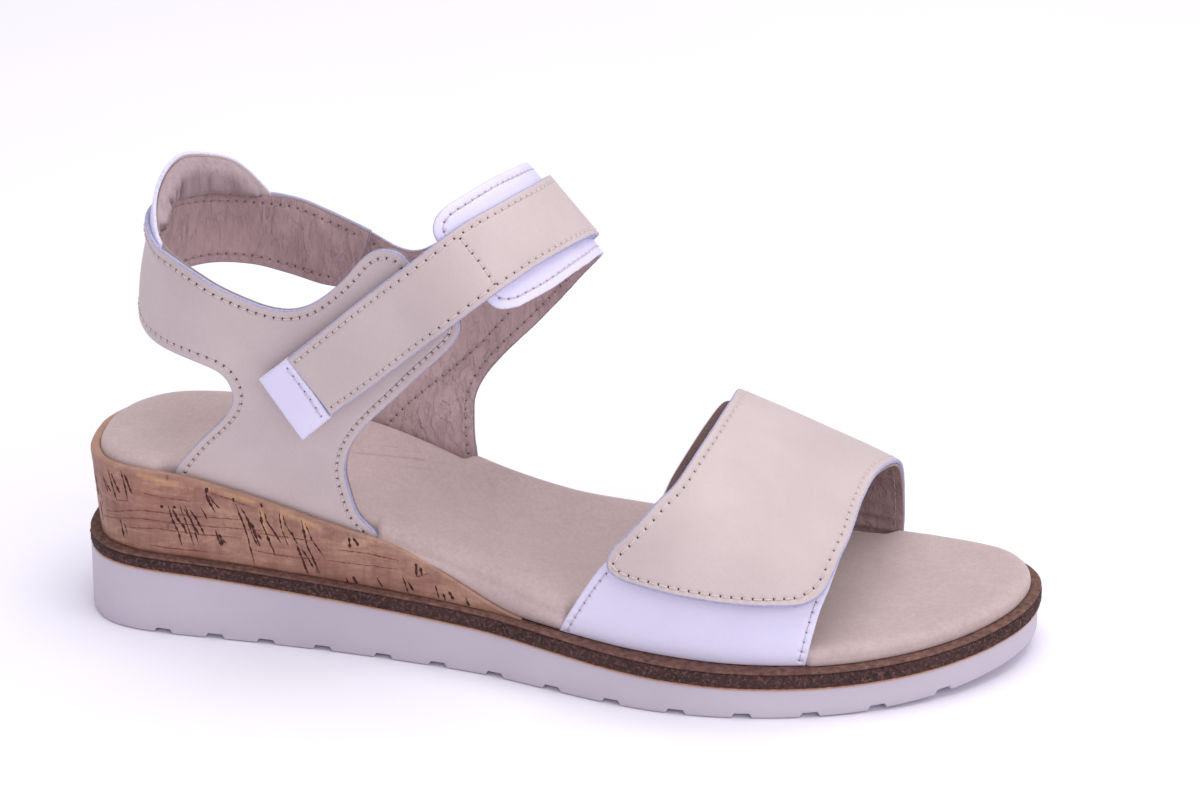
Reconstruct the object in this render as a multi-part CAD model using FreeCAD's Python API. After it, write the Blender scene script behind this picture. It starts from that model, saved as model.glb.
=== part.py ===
"""Wedge sandal, right foot, with two hook-and-loop straps: every layer of the sole and of the upper as its own solid.

Millimetres, +X towards the toe, +Y towards the inner (big-toe) side, +Z up.
The origin is on the ground, under the middle of the tread.
Working tables below count x from the back of the heel and y from the heel's centre line; place() moves them to the origin.
"""
import FreeCAD, Part
import os
from math import sin, cos, pi, sqrt, hypot
from FreeCAD import Vector, Base

os.makedirs("parts", exist_ok=True)

# ---------------------------------------------------------------- driving dimensions (mm)
LENGTH = 256.0            # overall length of the platform, EU size 38
ORIGIN_X, ORIGIN_Y = 128.0, -5.5
SHEET_LOW_T, SHEET_TOP_T = 0.5, 0.8
OUTSOLE_SET_IN = 0.9      # platform stands proud of the rubber by this much
CORK_SET_IN, CORK_T = 2.4, 1.5
FOOTBED_SET_IN = 4.05
NOTCH = 2.9               # how far the footbed edge is let in where the upper passes it
COVER_T, BOARD_T = 1.0, 1.2
LINING_T, LEATHER_T, PLY_GAP = 0.8, 1.2, 0.1
TAPE_T = 0.85             # one half of the hook-and-loop tape, pressed
BODY_GAP = 0.35           # clear space between a closed flap and what it lies on
TREAD_PITCH, TREAD_W, TREAD_H, TREAD_IN = 17.0, 5.6, 1.5, 5.0


class Spline:
    """Natural cubic spline y(x), continued in a straight line past its ends."""
    def __init__(self, xs, ys):
        self.xs, self.ys, n = list(xs), list(ys), len(xs)
        self.m = [0.0] * n
        if n > 2:
            a, b, c, d = [0.0] * n, [1.0] * n, [0.0] * n, [0.0] * n
            for i in range(1, n - 1):
                h0, h1 = xs[i] - xs[i - 1], xs[i + 1] - xs[i]
                a[i], b[i], c[i] = h0, 2 * (h0 + h1), h1
                d[i] = 6 * ((ys[i + 1] - ys[i]) / h1 - (ys[i] - ys[i - 1]) / h0)
            for i in range(1, n):
                w = a[i] / b[i - 1]
                b[i] -= w * c[i - 1]
                d[i] -= w * d[i - 1]
            for i in range(n - 2, 0, -1):
                self.m[i] = (d[i] - c[i] * self.m[i + 1]) / b[i]

    def __call__(self, x):
        xs, ys, m = self.xs, self.ys, self.m
        if x <= xs[0]:
            h = xs[1] - xs[0]
            return ys[0] + ((ys[1] - ys[0]) / h - h * (2 * m[0] + m[1]) / 6) * (x - xs[0])
        if x >= xs[-1]:
            h = xs[-1] - xs[-2]
            return ys[-1] + ((ys[-1] - ys[-2]) / h + h * (m[-2] + 2 * m[-1]) / 6) * (x - xs[-1])
        i = 0
        while xs[i + 1] < x:
            i += 1
        h = xs[i + 1] - xs[i]
        a, b = (xs[i + 1] - x) / h, (x - xs[i]) / h
        return a * ys[i] + b * ys[i + 1] + ((a ** 3 - a) * m[i] + (b ** 3 - b) * m[i + 1]) * h * h / 6


def cross(a, b): return (a[1] * b[2] - a[2] * b[1], a[2] * b[0] - a[0] * b[2], a[0] * b[1] - a[1] * b[0])
def sub(a, b): return (a[0] - b[0], a[1] - b[1], a[2] - b[2])
def unit(a):
    l = sqrt(a[0] ** 2 + a[1] ** 2 + a[2] ** 2) or 1.0
    return (a[0] / l, a[1] / l, a[2] / l)
def smooth(a, b, x):
    t = min(1.0, max(0.0, (x - a) / (b - a)))
    return t * t * (3 - 2 * t)
def place(p): return (p[0] - ORIGIN_X, p[1] - ORIGIN_Y, p[2])

# ---------------------------------------------------------------- sole: heights along x, and the plan outline
Z_BOT = Spline([0, 60, 120, 178, 205, 232, 256], [0, 0, 0, 0.15, 1.3, 3.4, 5.8])
Z_OUT = Spline([0, 30, 60, 90, 120, 150, 180, 210, 235, 256], [18.5, 17.9, 16.0, 14.1, 12.2, 9.9, 8.4, 8.2, 9.3, 11.2])
PLATFORM_T = Spline([0, 30, 60, 90, 120, 150, 180, 256], [4.2, 4.5, 4.8, 5.1, 5.3, 5.3, 5.2, 5.2])   # tan sheet, speckled foam, tan sheet
Z_RIM = Spline([0, 20, 30, 40, 57, 69, 80, 91, 102, 113.5, 122, 127],
               [46.6, 46.6, 46.0, 44.2, 40.2, 37.1, 34.6, 31.9, 27.6, 22.0, 18.6, 17.4])
Z_FB = Spline([0, 20, 40, 60, 80, 100, 120, 140, 160, 180, 205, 235, 256],
              [49.4, 49.0, 46.6, 42.8, 38.6, 33.8, 28.6, 23.9, 20.3, 18.6, 18.2, 19.3, 20.8])
ARCH_RISE = Spline([0, 30, 50, 73, 85, 95, 109, 129, 150, 180, 215, 256], [0, 0.6, 3.4, 6.0, 6.4, 6.0, 4.7, 2.7, 1.8, 0.6, 0, 0])
STACK_T = Spline([0, 60, 100, 130, 140, 150, 160], [7.0, 7.0, 6.7, 6.4, 6.0, 5.6, 5.1])   # footbed thickness over the wedge
def z_plat(x): return Z_OUT(x) + PLATFORM_T(x)
def rise(x, y): return ARCH_RISE(x) * smooth(-4, 16, y)
PAD_RISE = Spline([0, 20, 40, 60, 80, 95, 109, 129, 150, 180, 215, 245, 256], [0.2, 0.9, 1.3, 1.5, 2.3, 3.2, 3.4, 2.7, 2.3, 1.6, 0.8, 0.1, 0])
def pad_rise(x, y): return PAD_RISE(x) * smooth(2, 22, y)      # the foam alone is thicker along the inner edge

PLAT = [(0.0, 0.0), (1.4, -12.0), (6.3, -21.6), (14.0, -27.2), (25.0, -29.8), (46.0, -30.6), (70.0, -32.0), (92.0, -34.4),
        (114.0, -38.0), (131.0, -43.0), (148.0, -48.0), (164.0, -50.9), (180.0, -50.9), (196.0, -48.2), (211.0, -43.4),
        (225.0, -36.2), (237.0, -27.2), (246.5, -16.6), (253.3, -4.4), (LENGTH, 9.5), (253.4, 21.0), (246.0, 30.0),
        (232.0, 36.0), (215.0, 39.0), (196.0, 39.8), (178.0, 38.0), (160.0, 33.6), (143.0, 27.6), (126.0, 22.2),
        (108.0, 19.4), (90.0, 20.8), (70.0, 25.0), (48.0, 28.8), (28.0, 29.4), (14.0, 25.8), (5.2, 18.2), (1.0, 9.0)]

def closed_curve(pts, n):
    k, out = len(pts), []
    for q in range(n):
        s = q * k / n
        i, t = int(s) % k, s - int(s)
        p0, p1, p2, p3 = pts[i - 1], pts[i], pts[(i + 1) % k], pts[(i + 2) % k]
        out.append(tuple(0.5 * (2 * b + (c - a) * t + (2 * a - 5 * b + 4 * c - d) * t * t + (3 * b - a - 3 * c + d) * t ** 3)
                         for a, b, c, d in zip(p0, p1, p2, p3)))
    return out

def outline(n, inset):
    """Plan outline of n points moved inward by inset, a number or a function of x and y."""
    dense, out = closed_curve(PLAT, n), []
    for i, (x, y) in enumerate(dense):
        ax, ay = dense[i - 1]
        bx, by = dense[(i + 1) % n]
        tx, ty = bx - ax, by - ay
        l = hypot(tx, ty)
        d = inset(x, y) if callable(inset) else inset
        out.append((x - ty / l * d, y + tx / l * d))
    return out

def footbed_inset(x, y):
    """Footbed edge: let in beside the two quarters and the fore strap."""
    if y < 0:
        k = smooth(22, 27, x) * (1 - smooth(88, 93, x)) + smooth(131, 136, x) * (1 - smooth(206, 210, x))
    else:
        k = smooth(38, 43, x) * (1 - smooth(104, 109, x)) + smooth(158, 163, x) * (1 - smooth(215, 220, x))
    return FOOTBED_SET_IN + NOTCH * k

EDGE = outline(222, 0.0)
def edge_distance(x, y):
    return min(hypot(x - a, y - b) for a, b in EDGE)

# ---------------------------------------------------------------- upper: three foot surfaces
# ring(u, z): u is arc in mm round the ankle ring from the middle of the heel, minus on the outer side
HEEL_X = Spline([40, 50, 62, 75, 86, 95, 103, 111, 118, 124, 130], [6.6, 8.4, 12.4, 15.6, 16.2, 17.0, 18.6, 20.2, 21.8, 24.4, 28.0])
HEEL_W = Spline([40, 50, 62, 75, 90, 105, 118, 128], [23.8, 24.6, 26.2, 27.0, 26.2, 24.2, 22.6, 22.0])
HEEL_R = 27.0
RING_ARC = HEEL_R * pi / 2
Y_FOOT_L = Spline([0, 30, 46, 70, 84, 92, 110, 140], [23.0, 23.5, 24.15, 25.5, 26.9, 27.9, 30.3, 33.0])
Y_FOOT_M = Spline([0, 28, 48, 70, 90, 108, 140], [23.4, 23.0, 22.3, 18.6, 14.3, 12.9, 17.0])
Y_UP_M = Spline([0, 28, 48, 70, 90, 108, 140], [25.0, 25.4, 26.0, 26.5, 26.8, 27.0, 27.0])
def wall(side, x, z):
    """Half width between the side walls of the upper at x and height z."""
    h = z - Z_FB(x)
    if side < 0:
        return Y_FOOT_L(x) + 3.6 * smooth(0, 34, h) + 0.8 * smooth(30, 60, h)
    w = Y_FOOT_M(x)
    return w + (Y_UP_M(x) - w) * smooth(2, 48, h)
def ring(u, z):
    side, a, xb = (-1 if u < 0 else 1), abs(u), HEEL_X(z)
    if a < RING_ARC:
        th = a / RING_ARC * pi / 2
        w = HEEL_W(z) + (wall(side, xb + HEEL_R, z) - HEEL_W(z)) * smooth(0.2, 1.0, a / RING_ARC)
        return (xb + HEEL_R * (1 - cos(th)), side * w * sin(th), z)
    x = xb + HEEL_R + (a - RING_ARC)
    return (x, side * wall(side, x, z), z)

# loop(q, n): q is arc over the instep from its crest, minus on the outer side; n is square to the ankle strap
BETA = 40.0 * pi / 180
CREST_P = Spline([-40, -8, 8, 24, 40], [170.6, 170.8, 170.8, 170.4, 169.6])
CREST_A = 30.0
LOOP_ARC = CREST_A * pi / 2
def loop(q, n):
    side, a, pc = (-1 if q < 0 else 1), abs(q), CREST_P(n)
    if a < LOOP_ARC:
        th = a / LOOP_ARC * pi / 2
        p, f = pc - CREST_A * (1 - cos(th)), sin(th)
    else:
        p, f = pc - CREST_A - (a - LOOP_ARC), 1.0
    x, z = p * cos(BETA) - n * sin(BETA), p * sin(BETA) + n * cos(BETA)
    return (x, side * wall(side, x, z) * f + 2.0 * (1 - f), z)

# arch(t, x): t runs over the forefoot from 0 at the outer edge of the platform to 1 at the inner edge
ARCH_Y = Spline([0, .08, .2, .32, .43, .53, .62, .72, .82, .92, 1], [-1.0, -1.01, -0.97, -0.80, -0.53, -0.20, 0.14, 0.52, 0.83, 1.0, 0.98])
ARCH_Z = Spline([0, .08, .2, .32, .43, .53, .62, .72, .82, .92, 1], [0.0, 0.14, 0.42, 0.68, 0.86, 0.97, 1.0, 0.93, 0.72, 0.30, 0.0])
V_L = Spline([120, 133, 150, 165, 180, 195, 207, 220], [36.2, 38.2, 42.3, 44.3, 44.5, 42.3, 39.3, 34.7])
V_M = Spline([120, 150, 170, 185, 200, 216, 230], [15.8, 24.0, 30.3, 33.0, 34.0, 33.3, 30.5])
V_CREST = Spline([120, 150, 172, 186.5, 197, 208, 217, 230], [78.4, 69.3, 60.2, 53.9, 49.2, 44.2, 40.0, 34.2])
def arch(t, x):
    a, b, z0 = ARCH_Y(t), ARCH_Z(t), z_plat(x) + 0.3
    return (x, a * (V_L(x) if a < 0 else V_M(x)) + 2.0 * b, z0 + (V_CREST(x) - z0) * b)

def normal(S, u, v):
    eu = 0.004 if S is arch else 0.4
    return unit(cross(sub(S(u + eu, v), S(u - eu, v)), sub(S(u, v + 0.4), S(u, v - 0.4))))
OUTWARD = {}
for S_, uv_, want_ in ((ring, (0, 90), (-1, 0, 0)), (loop, (0, 0), (1, 0, 1)), (arch, (0.6, 190), (0, 0, 1))):
    n_ = normal(S_, *uv_)
    OUTWARD[S_] = 1 if sum(a * b for a, b in zip(n_, want_)) > 0 else -1
def off(S, u, v, d):
    """Point of surface S moved outward by d, a number or a function of u and v."""
    d = (d(u, v) if callable(d) else d) * OUTWARD[S]
    p, n = S(u, v), normal(S, u, v)
    return (p[0] + n[0] * d, p[1] + n[1] * d, p[2] + n[2] * d)

# ---------------------------------------------------------------- solids
def patch(F, u0, u1, v0, v1, nu, nv):
    """Cubic B-spline surface of F over [u0, u1] x [v0, v1], its parameters being u and v themselves."""
    def knots(a, b, n):
        k = [a + (b - a) * i / (n - 3) for i in range(n - 2)]
        full = [a] * 3 + k + [b] * 3
        return k, [(full[i + 1] + full[i + 2] + full[i + 3]) / 3 for i in range(n)]
    ku, gu = knots(u0, u1, nu)
    kv, gv = knots(v0, v1, nv)
    s = Part.BSplineSurface()
    s.buildFromPolesMultsKnots([[Vector(*place(F(u, v))) for v in gv] for u in gu],
                               [4] + [1] * (len(ku) - 2) + [4], [4] + [1] * (len(kv) - 2) + [4], ku, kv, False, False, 3, 3)
    return s

def even(pts, su=1.0, pitch=2.2):
    """Smooth curve through pts, resampled at an even pitch; su scales u to millimetres."""
    if len(pts) < 3:
        return list(pts)
    s = [0.0]
    for a, b in zip(pts, pts[1:]):
        s.append(s[-1] + max(1e-6, hypot((b[0] - a[0]) * su, b[1] - a[1])))
    fu, fv = Spline(s, [p[0] for p in pts]), Spline(s, [p[1] for p in pts])
    n = max(3, int(round(s[-1] / pitch)))
    return [(fu(s[-1] * i / n), fv(s[-1] * i / n)) for i in range(n + 1)]

def solid_between(low, high, runs, su=1.0):
    """Solid between two surfaces that share their parameters, inside a loop of runs of (u, v) points."""
    full = [even(list(r) + [runs[(i + 1) % len(runs)][0]], su) for i, r in enumerate(runs)]
    loop_pts = [p for r in full for p in r[:-1]]
    if sum(p[0] * q[1] - q[0] * p[1] for p, q in zip(loop_pts, loop_pts[1:] + loop_pts[:1])) < 0:
        full = [r[::-1] for r in full[::-1]]
    runs = []
    for r in full:                                          # long runs are cut, so that each side face stays short
        k = max(1, int(round((len(r) - 1) / 16.0)))
        cuts = [(len(r) - 1) * i // k for i in range(k + 1)]
        runs += [r[a:b] for a, b in zip(cuts, cuts[1:])]
    def edges(s):
        out = []
        for i, r in enumerate(runs):
            pts = list(r) + [runs[(i + 1) % len(runs)][0]]
            if len(pts) == 2:
                c = Part.Geom2d.Line2dSegment(Base.Vector2d(*pts[0]), Base.Vector2d(*pts[1]))
            else:
                c = Part.Geom2d.BSplineCurve2d()
                c.interpolate(Points=[Base.Vector2d(*p) for p in pts])
            out.append(c.toShape(s))
        return out
    e0, e1 = edges(low), edges(high)
    w0, w1 = Part.Wire(e0), Part.Wire(e1)
    faces = [Part.Face(low, w0), Part.Face(high, w1)] + [Part.makeRuledSurface(a, b) for a, b in zip(e0, e1)]
    comp = Part.Compound(faces)
    comp.sewShape(1e-3)
    so = Part.Solid(comp.Shells[0])
    if so.Volume < 0:
        so.reverse()
    return so

def box_of(runs, pad):
    us, vs = [p[0] for r in runs for p in r], [p[1] for r in runs for p in r]
    return min(us) - pad[0], max(us) + pad[0], min(vs) - pad[1], max(vs) + pad[1]

def panel(S, d0, d1, runs, step=3.0):
    """Sheet of leather, tape or foam on foot surface S between offsets d0 and d1."""
    pad = (0.02, 2.0) if S is arch else (2.0, 2.0)
    u0, u1, v0, v1 = box_of(runs, pad)
    nu = max(8, int((u1 - u0) * (150 if S is arch else 1) / step) + 4)
    nv = max(6, int((v1 - v0) / step) + 4)
    lo = patch(lambda u, v: off(S, u, v, d0), u0, u1, v0, v1, nu, nv)
    hi = patch(lambda u, v: off(S, u, v, d1), u0, u1, v0, v1, nu, nv)
    return solid_between(lo, hi, runs, 150.0 if S is arch else 1.0)

def slab(f0, f1, runs, step=4.0):
    """Solid between heights f0(x, y) and f1(x, y) inside a plan loop."""
    u0, u1, v0, v1 = box_of(runs, (1.5, 1.5))
    nu, nv = max(8, int((u1 - u0) / step) + 4), max(8, int((v1 - v0) / step) + 4)
    lo = patch(lambda x, y: (x, y, f0(x, y)), u0, u1, v0, v1, nu, nv)
    hi = patch(lambda x, y: (x, y, f1(x, y)), u0, u1, v0, v1, nu, nv)
    return solid_between(lo, hi, runs)

NODES = {}
def keep(name, shape):
    NODES[name] = shape
    shape.exportStep("parts/%s.step" % name)

def closed_runs(pts, k):
    """Split a closed list of plan points into k smooth runs."""
    n = len(pts)
    cuts = [i * n // k for i in range(k)] + [n]
    return [pts[cuts[i]:cuts[i + 1]] for i in range(k)]

def prism(inset, low, high):
    """Layer of the sole with upright sides: the plan outline raised between two height curves along x."""
    pts = outline(111, inset)
    c = Part.BSplineCurve()
    c.interpolate(Points=[Vector(*place((x, y, -5))) for x, y in pts], PeriodicFlag=True)
    body = Part.Face(Part.Wire(c.toShape())).extrude(Vector(0, 0, 40))
    def curve(f):
        xs = [-4 + i * (LENGTH + 8) / 33 for i in range(34)]
        b = Part.BSplineCurve()
        b.interpolate([Vector(*place((x, -70, f(x)))) for x in xs])
        return b.toShape()
    if low is Z_BOT:
        flat_end = 176.0
        p0, p1 = place((-4, -70, 0)), place((flat_end, -70, 0))
        b = Part.BSplineCurve()
        xs = [flat_end + i * (LENGTH + 4 - flat_end) / 9 for i in range(10)]
        z1 = Z_BOT(flat_end)
        b.interpolate([Vector(*place((x, -70, max(0.0, Z_BOT(x) - z1) if i else 0.0))) for i, x in enumerate(xs)])
        lows = [Part.LineSegment(Vector(*p0), Vector(*p1)).toShape(), b.toShape()]
    else:
        lows = [curve(low)]
    top = curve(high)
    a0, a1 = lows[0].Vertexes[0].Point, lows[-1].Vertexes[-1].Point
    t0, t1 = top.Vertexes[0].Point, top.Vertexes[-1].Point
    wire = Part.Wire(lows + [Part.LineSegment(a1, t1).toShape(), top, Part.LineSegment(t0, a0).toShape()])
    return Part.Face(wire).extrude(Vector(0, 140, 0)).common(body)

# ---- outsole with side-opening tread slots
outsole = prism(OUTSOLE_SET_IN, Z_BOT, Z_OUT)
slots = []
ring_pts = outline(400, OUTSOLE_SET_IN)
for side in (-1, 1):
    x = 18.0
    while x < 246:
        near = min((p for p in ring_pts if p[1] * side > 0), key=lambda p: abs(p[0] - x))
        i = ring_pts.index(near)
        a, b = ring_pts[i - 1], ring_pts[(i + 1) % len(ring_pts)]
        tx, ty = b[0] - a[0], b[1] - a[1]
        l = hypot(tx, ty)
        tx, ty = tx / l, ty / l
        nx, ny = -ty, tx                                   # inward
        z = Z_BOT(near[0]) if near[0] > 176 else 0.0
        pts = []
        for s, h in ((-TREAD_W / 2, -2.0), (TREAD_W / 2, -2.0), (TREAD_W / 2 - 0.9, TREAD_H), (-TREAD_W / 2 + 0.9, TREAD_H)):
            pts.append(Vector(*place((near[0] + tx * s - nx * 2, near[1] + ty * s - ny * 2, z + h))))
        slots.append(Part.Face(Part.makePolygon(pts + [pts[0]])).extrude(Vector(nx, ny, 0) * (TREAD_IN + 2)))
        x += TREAD_PITCH
outsole = outsole.cut(slots)
keep("outsole", outsole.Solids[0])

# ---- platform: tan sheet, speckled foam, tan sheet
G = 0.03
keep("platform_lower_sheet", prism(0.25, lambda x: Z_OUT(x) + G, lambda x: Z_OUT(x) + SHEET_LOW_T).Solids[0])
keep("platform_foam", prism(0.0, lambda x: Z_OUT(x) + SHEET_LOW_T + G, lambda x: z_plat(x) - SHEET_TOP_T - G).Solids[0])
keep("platform_top_sheet", prism(0.15, lambda x: z_plat(x) - SHEET_TOP_T, z_plat).Solids[0])

# ---- wedge core inside its cork wrap
def core_top(x, y): return max(Z_FB(x) + rise(x, y) - STACK_T(min(x, 160)), z_plat(x) + 0.35)
CORE_END = 146.0
def core_inset(x, y): return FOOTBED_SET_IN + 0.05 + (NOTCH + 0.2) * smooth(112, 128, x)
def heel_run(inset, end):
    """Plan outline from the inner side at x = end, round the heel, to the outer side at x = end."""
    pts = outline(222, inset)
    la = [p for p in pts if p[1] < 0 and p[0] <= end]
    me = [p for p in pts if p[1] >= 0 and p[0] <= end]
    if me[0][0] < 30 and me[0][1] < 3:
        me = me[1:] + me[:1]
    return me + la
run = heel_run(core_inset, CORE_END)
k = len(run) // 2
keep("wedge_core", slab(lambda x, y: z_plat(x) + 0.1, core_top, [run[:k], run[k:-1], [run[-1]]]))

def cork_top(x, y): return Z_RIM(x) + 0.75 * rise(x, y) * (1 - smooth(96, 124, x))
CORK_END = 124.0
outer, inner = heel_run(CORK_SET_IN, CORK_END), heel_run(CORK_SET_IN + CORK_T, CORK_END)
inner.reverse()
k = len(outer) // 2
keep("cork_wrap", slab(lambda x, y: z_plat(x) + 0.1, cork_top,
                       [outer[:k], outer[k:-1], [outer[-1]], inner[:k], inner[k:-1], [inner[-1]]], step=3.0))

# ---- footbed: board, foam, leather cover
fb_pts = outline(222, footbed_inset)
def fb_edge(x, y):
    """Distance in from the footbed's edge."""
    return max(0.0, edge_distance(x, y) - footbed_inset(x, y))
def fb_top(x, y):
    drop = 2.2 * (1 - sqrt(1 - (1 - min(1.0, fb_edge(x, y) / 4.0)) ** 2))
    drop *= 1 + 0.4 * smooth(92, 105, x) * (1 - smooth(150, 165, x)) * (1 if y < 0 else 0)
    return Z_FB(x) + rise(x, y) + pad_rise(x, y) - drop
def board_low(x, y): return core_top(x, y) + 0.15
def board_high(x, y): return board_low(x, y) + min(BOARD_T, 0.28 * (Z_FB(x) - z_plat(x)))
runs = closed_runs(fb_pts, 6)
def cover_low(x, y): return max(fb_top(x, y) - COVER_T, board_high(x, y) + 0.4)
keep("footbed_cover", slab(cover_low, fb_top, runs, step=2.5))
keep("footbed_foam", slab(lambda x, y: board_high(x, y) + 0.12, lambda x, y: cover_low(x, y) - 0.1, runs, step=2.5))
keep("insole_board", slab(board_low, board_high, runs, step=3.0))

# ---- upper: outlines in the coordinates of the foot surfaces
D_LIN = (0.0, LINING_T)
D_OUT = (LINING_T + PLY_GAP, LINING_T + PLY_GAP + LEATHER_T)           # 0.9 to 2.1
D_TAPE = (D_OUT[1] + 0.05, D_OUT[1] + 0.05 + TAPE_T)                   # on the outer quarter

RIM_LINE = [(-44.1, 41.4), (-55.4, 39.4), (-66.8, 36.9), (-78.2, 34.5), (-86.0, 32.9)]
QUARTER_FRONT = [(-94.2, 32.6), (-89.7, 37.8), (-85.6, 44.9), (-83.2, 50.9), (-82.3, 55.6), (-82.3, 59.4), (-84.0, 65.2), (-87.7, 70.9),
                 (-92.5, 76.8), (-97.9, 83.0), (-103.2, 88.7), (-105.7, 91.8), (-107.3, 95.4), (-107.0, 98.6), (-105.6, 100.6)]
QUARTER_TOP_OUTER = [(-90.0, 113.8), (-87.6, 115.6), (-85.0, 116.1), (-82.2, 115.8), (-79.4, 114.2), (-76.5, 110.4), (-74.5, 107.1),
                     (-72.4, 104.3), (-69.0, 100.6), (-66.7, 98.7), (-62.9, 96.9), (-58.9, 96.4), (-53.4, 97.1), (-47.7, 98.8),
                     (-41.9, 100.9), (-36.3, 103.2), (-29.7, 105.0), (-20.3, 106.6), (-13.2, 108.2), (-5.0, 109.8), (5.0, 110.3),
                     (15.0, 110.0), (25.0, 108.6), (33.0, 107.4), (39.3, 106.5), (44.3, 106.2), (53.1, 103.7), (62.1, 100.2)]
BAND_END = [(68.3, 97.6), (68.1, 95.4), (66.4, 88.9), (63.8, 85.0)]
BAND_LOW = [(61.0, 81.4), (55.4, 82.1), (49.9, 83.6), (44.3, 85.0), (38.8, 86.2), (33.3, 87.0), (27.7, 87.6), (20.0, 87.8), (10.0, 86.8),
            (0.0, 85.2), (-10.4, 83.2), (-17.2, 81.9), (-25.1, 80.8), (-32.1, 80.1), (-37.8, 79.0), (-43.7, 76.4), (-46.3, 73.0),
            (-47.3, 68.8), (-45.7, 63.4), (-41.5, 56.2), (-38.8, 50.7), (-37.1, 46.2)]
quarter = [[(-36.8, 43.2)] + RIM_LINE, [(-93.6, 31.6)] + QUARTER_FRONT, QUARTER_TOP_OUTER, BAND_END, BAND_LOW]
keep("quarter_outer", panel(ring, *D_OUT, runs=quarter))
keep("quarter_lining", panel(ring, *D_LIN, runs=quarter))

# heel tab, collar foam and its lining
TAB_LOW = [(39.3, 106.9), (33.0, 107.8), (25.0, 109.0), (15.0, 110.4), (5.0, 110.7), (-5.0, 110.2), (-13.2, 108.6)]
TAB_TOP = [(-19.6, 107.2), (-16.6, 108.4), (-13.4, 110.4), (-8.4, 114.0), (-4.5, 117.0), (-1.0, 119.6), (3.7, 121.8), (8.7, 122.7),
           (13.9, 122.0), (21.8, 119.9), (28.5, 117.0), (31.8, 114.4), (35.6, 110.6)]
tab = [TAB_LOW, TAB_TOP]
keep("heel_tab", panel(ring, *D_OUT, runs=tab))
def inward(p, k): return (8.0 + (p[0] - 8.0) * k, 109.0 + (p[1] - 109.0) * k)
foam_runs = [[(33.4, 109.2), (25.0, 110.6), (15.0, 111.6), (5.0, 111.8), (-5.0, 111.4)],
             [(-12.4, 110.2), (-8.6, 112.6), (-4.5, 115.2), (-0.6, 117.7), (3.9, 119.8), (8.7, 120.7), (13.9, 120.2), (21.6, 118.2), (27.8, 115.4), (31.2, 112.4)]]
keep("collar_foam", panel(ring, -2.9, LINING_T, runs=foam_runs))
lining_runs = [[(37.0, 107.4), (30.7, 108.2), (24.9, 109.2), (15.0, 110.5), (5.0, 110.8), (-5.0, 110.3)],
               [(-15.0, 108.8), (-9.4, 112.6), (-4.9, 115.9), (-1.0, 118.4), (3.9, 120.6), (8.7, 121.5), (13.9, 120.9), (21.7, 118.9), (28.2, 116.0), (31.6, 113.2), (34.6, 109.9)]]
keep("collar_lining", panel(ring, -3.9, -3.0, runs=lining_runs))

# inner quarter, instep patch and the sewn root of the ankle strap
def crest_in(q): return 2.0 * (1 - smooth(16, 34, abs(q)))
def drawn(d): return lambda q, n: d - crest_in(q)          # over the instep every layer sits tight on the one below
M_LIN = (2.3, 2.9)
M_OUT = (3.0, 3.95)
R_LIN = (4.05, 5.1)
S_LIN = (4.4, 5.1)
def tuck(d):
    """Inner quarter: outside the heel band at the ankle, drawn in to the footbed's edge below it."""
    def f(q, n):
        x, y, z = loop(q, n)
        return d - M_LIN[0] * (1 - smooth(6, 30, z - Z_FB(x))) * smooth(30, 45, q) - crest_in(q)
    return f
S_OUT = (5.2, 6.3)
INNER_FRONT = [(88.8, -39.2), (84.5, -35.7), (82.1, -31.7), (77.9, -25.1), (75.6, -22.2), (73.4, -20.7), (69.5, -19.2), (65.0, -18.4), (57.9, -17.9),
               (50.8, -17.5), (42.8, -16.3), (33.4, -14.3), (24.5, -12.6)]
PATCH_LOW = [(12.0, -10.4), (5.0, -9.0), (-4.2, -7.3), (-11.3, -5.6), (-18.1, -4.2), (-23.6, -2.7)]
PATCH_END = [(-28.5, -1.2), (-31.4, 0.8), (-32.8, 2.6), (-33.2, 4.6), (-33.3, 14.0), (-33.2, 25.1), (-32.0, 28.0), (-28.8, 29.8)]
PATCH_TOP = [(-23.1, 29.4), (-11.0, 26.6), (-3.7, 24.3), (5.0, 22.2)]
INNER_TOP = [(24.5, 19.2), (35.0, 18.0), (50.0, 16.7), (60.0, 16.2), (65.5, 17.6), (68.9, 21.4), (71.2, 27.6), (73.8, 33.4), (76.6, 36.8)]
INNER_REAR = [(80.4, 37.0), (84.4, 33.4), (86.4, 28.0), (87.6, 22.6), (92.5, 17.0), (101.0, 12.4), (111.0, 9.2), (120.0, 6.8), (125.4, 5.4)]
INNER_FOOT = [(126.9, 3.6), (114.1, -7.8), (104.1, -16.2), (96.3, -25.6)]
SEAM = 24.5
keep("inner_quarter_lining", panel(loop, tuck(M_LIN[0]), tuck(M_LIN[1]), runs=[INNER_FOOT, INNER_FRONT + PATCH_LOW, PATCH_END, PATCH_TOP + INNER_TOP, INNER_REAR]))
keep("inner_quarter_outer", panel(loop, tuck(M_OUT[0]), tuck(M_OUT[1]), runs=[INNER_FOOT, INNER_FRONT[:-1], [(SEAM, -12.6)], INNER_TOP, INNER_REAR]))
keep("instep_patch", panel(loop, drawn(M_OUT[0]), drawn(M_OUT[1]), runs=[[(SEAM - 0.2, -12.5)] + PATCH_LOW, PATCH_END, PATCH_TOP, [(SEAM - 0.2, 19.2)]]))
HINGE_Q = -29.8
UP_FREE = [(-35.0, 24.8), (-43.0, 25.0), (-56.5, 24.9), (-71.5, 24.5), (-84.6, 24.2)]
LOW_FREE = [(-84.4, 5.6), (-74.2, 5.5), (-59.2, 5.8), (-45.3, 6.0), (-35.0, 5.8)]
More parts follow.
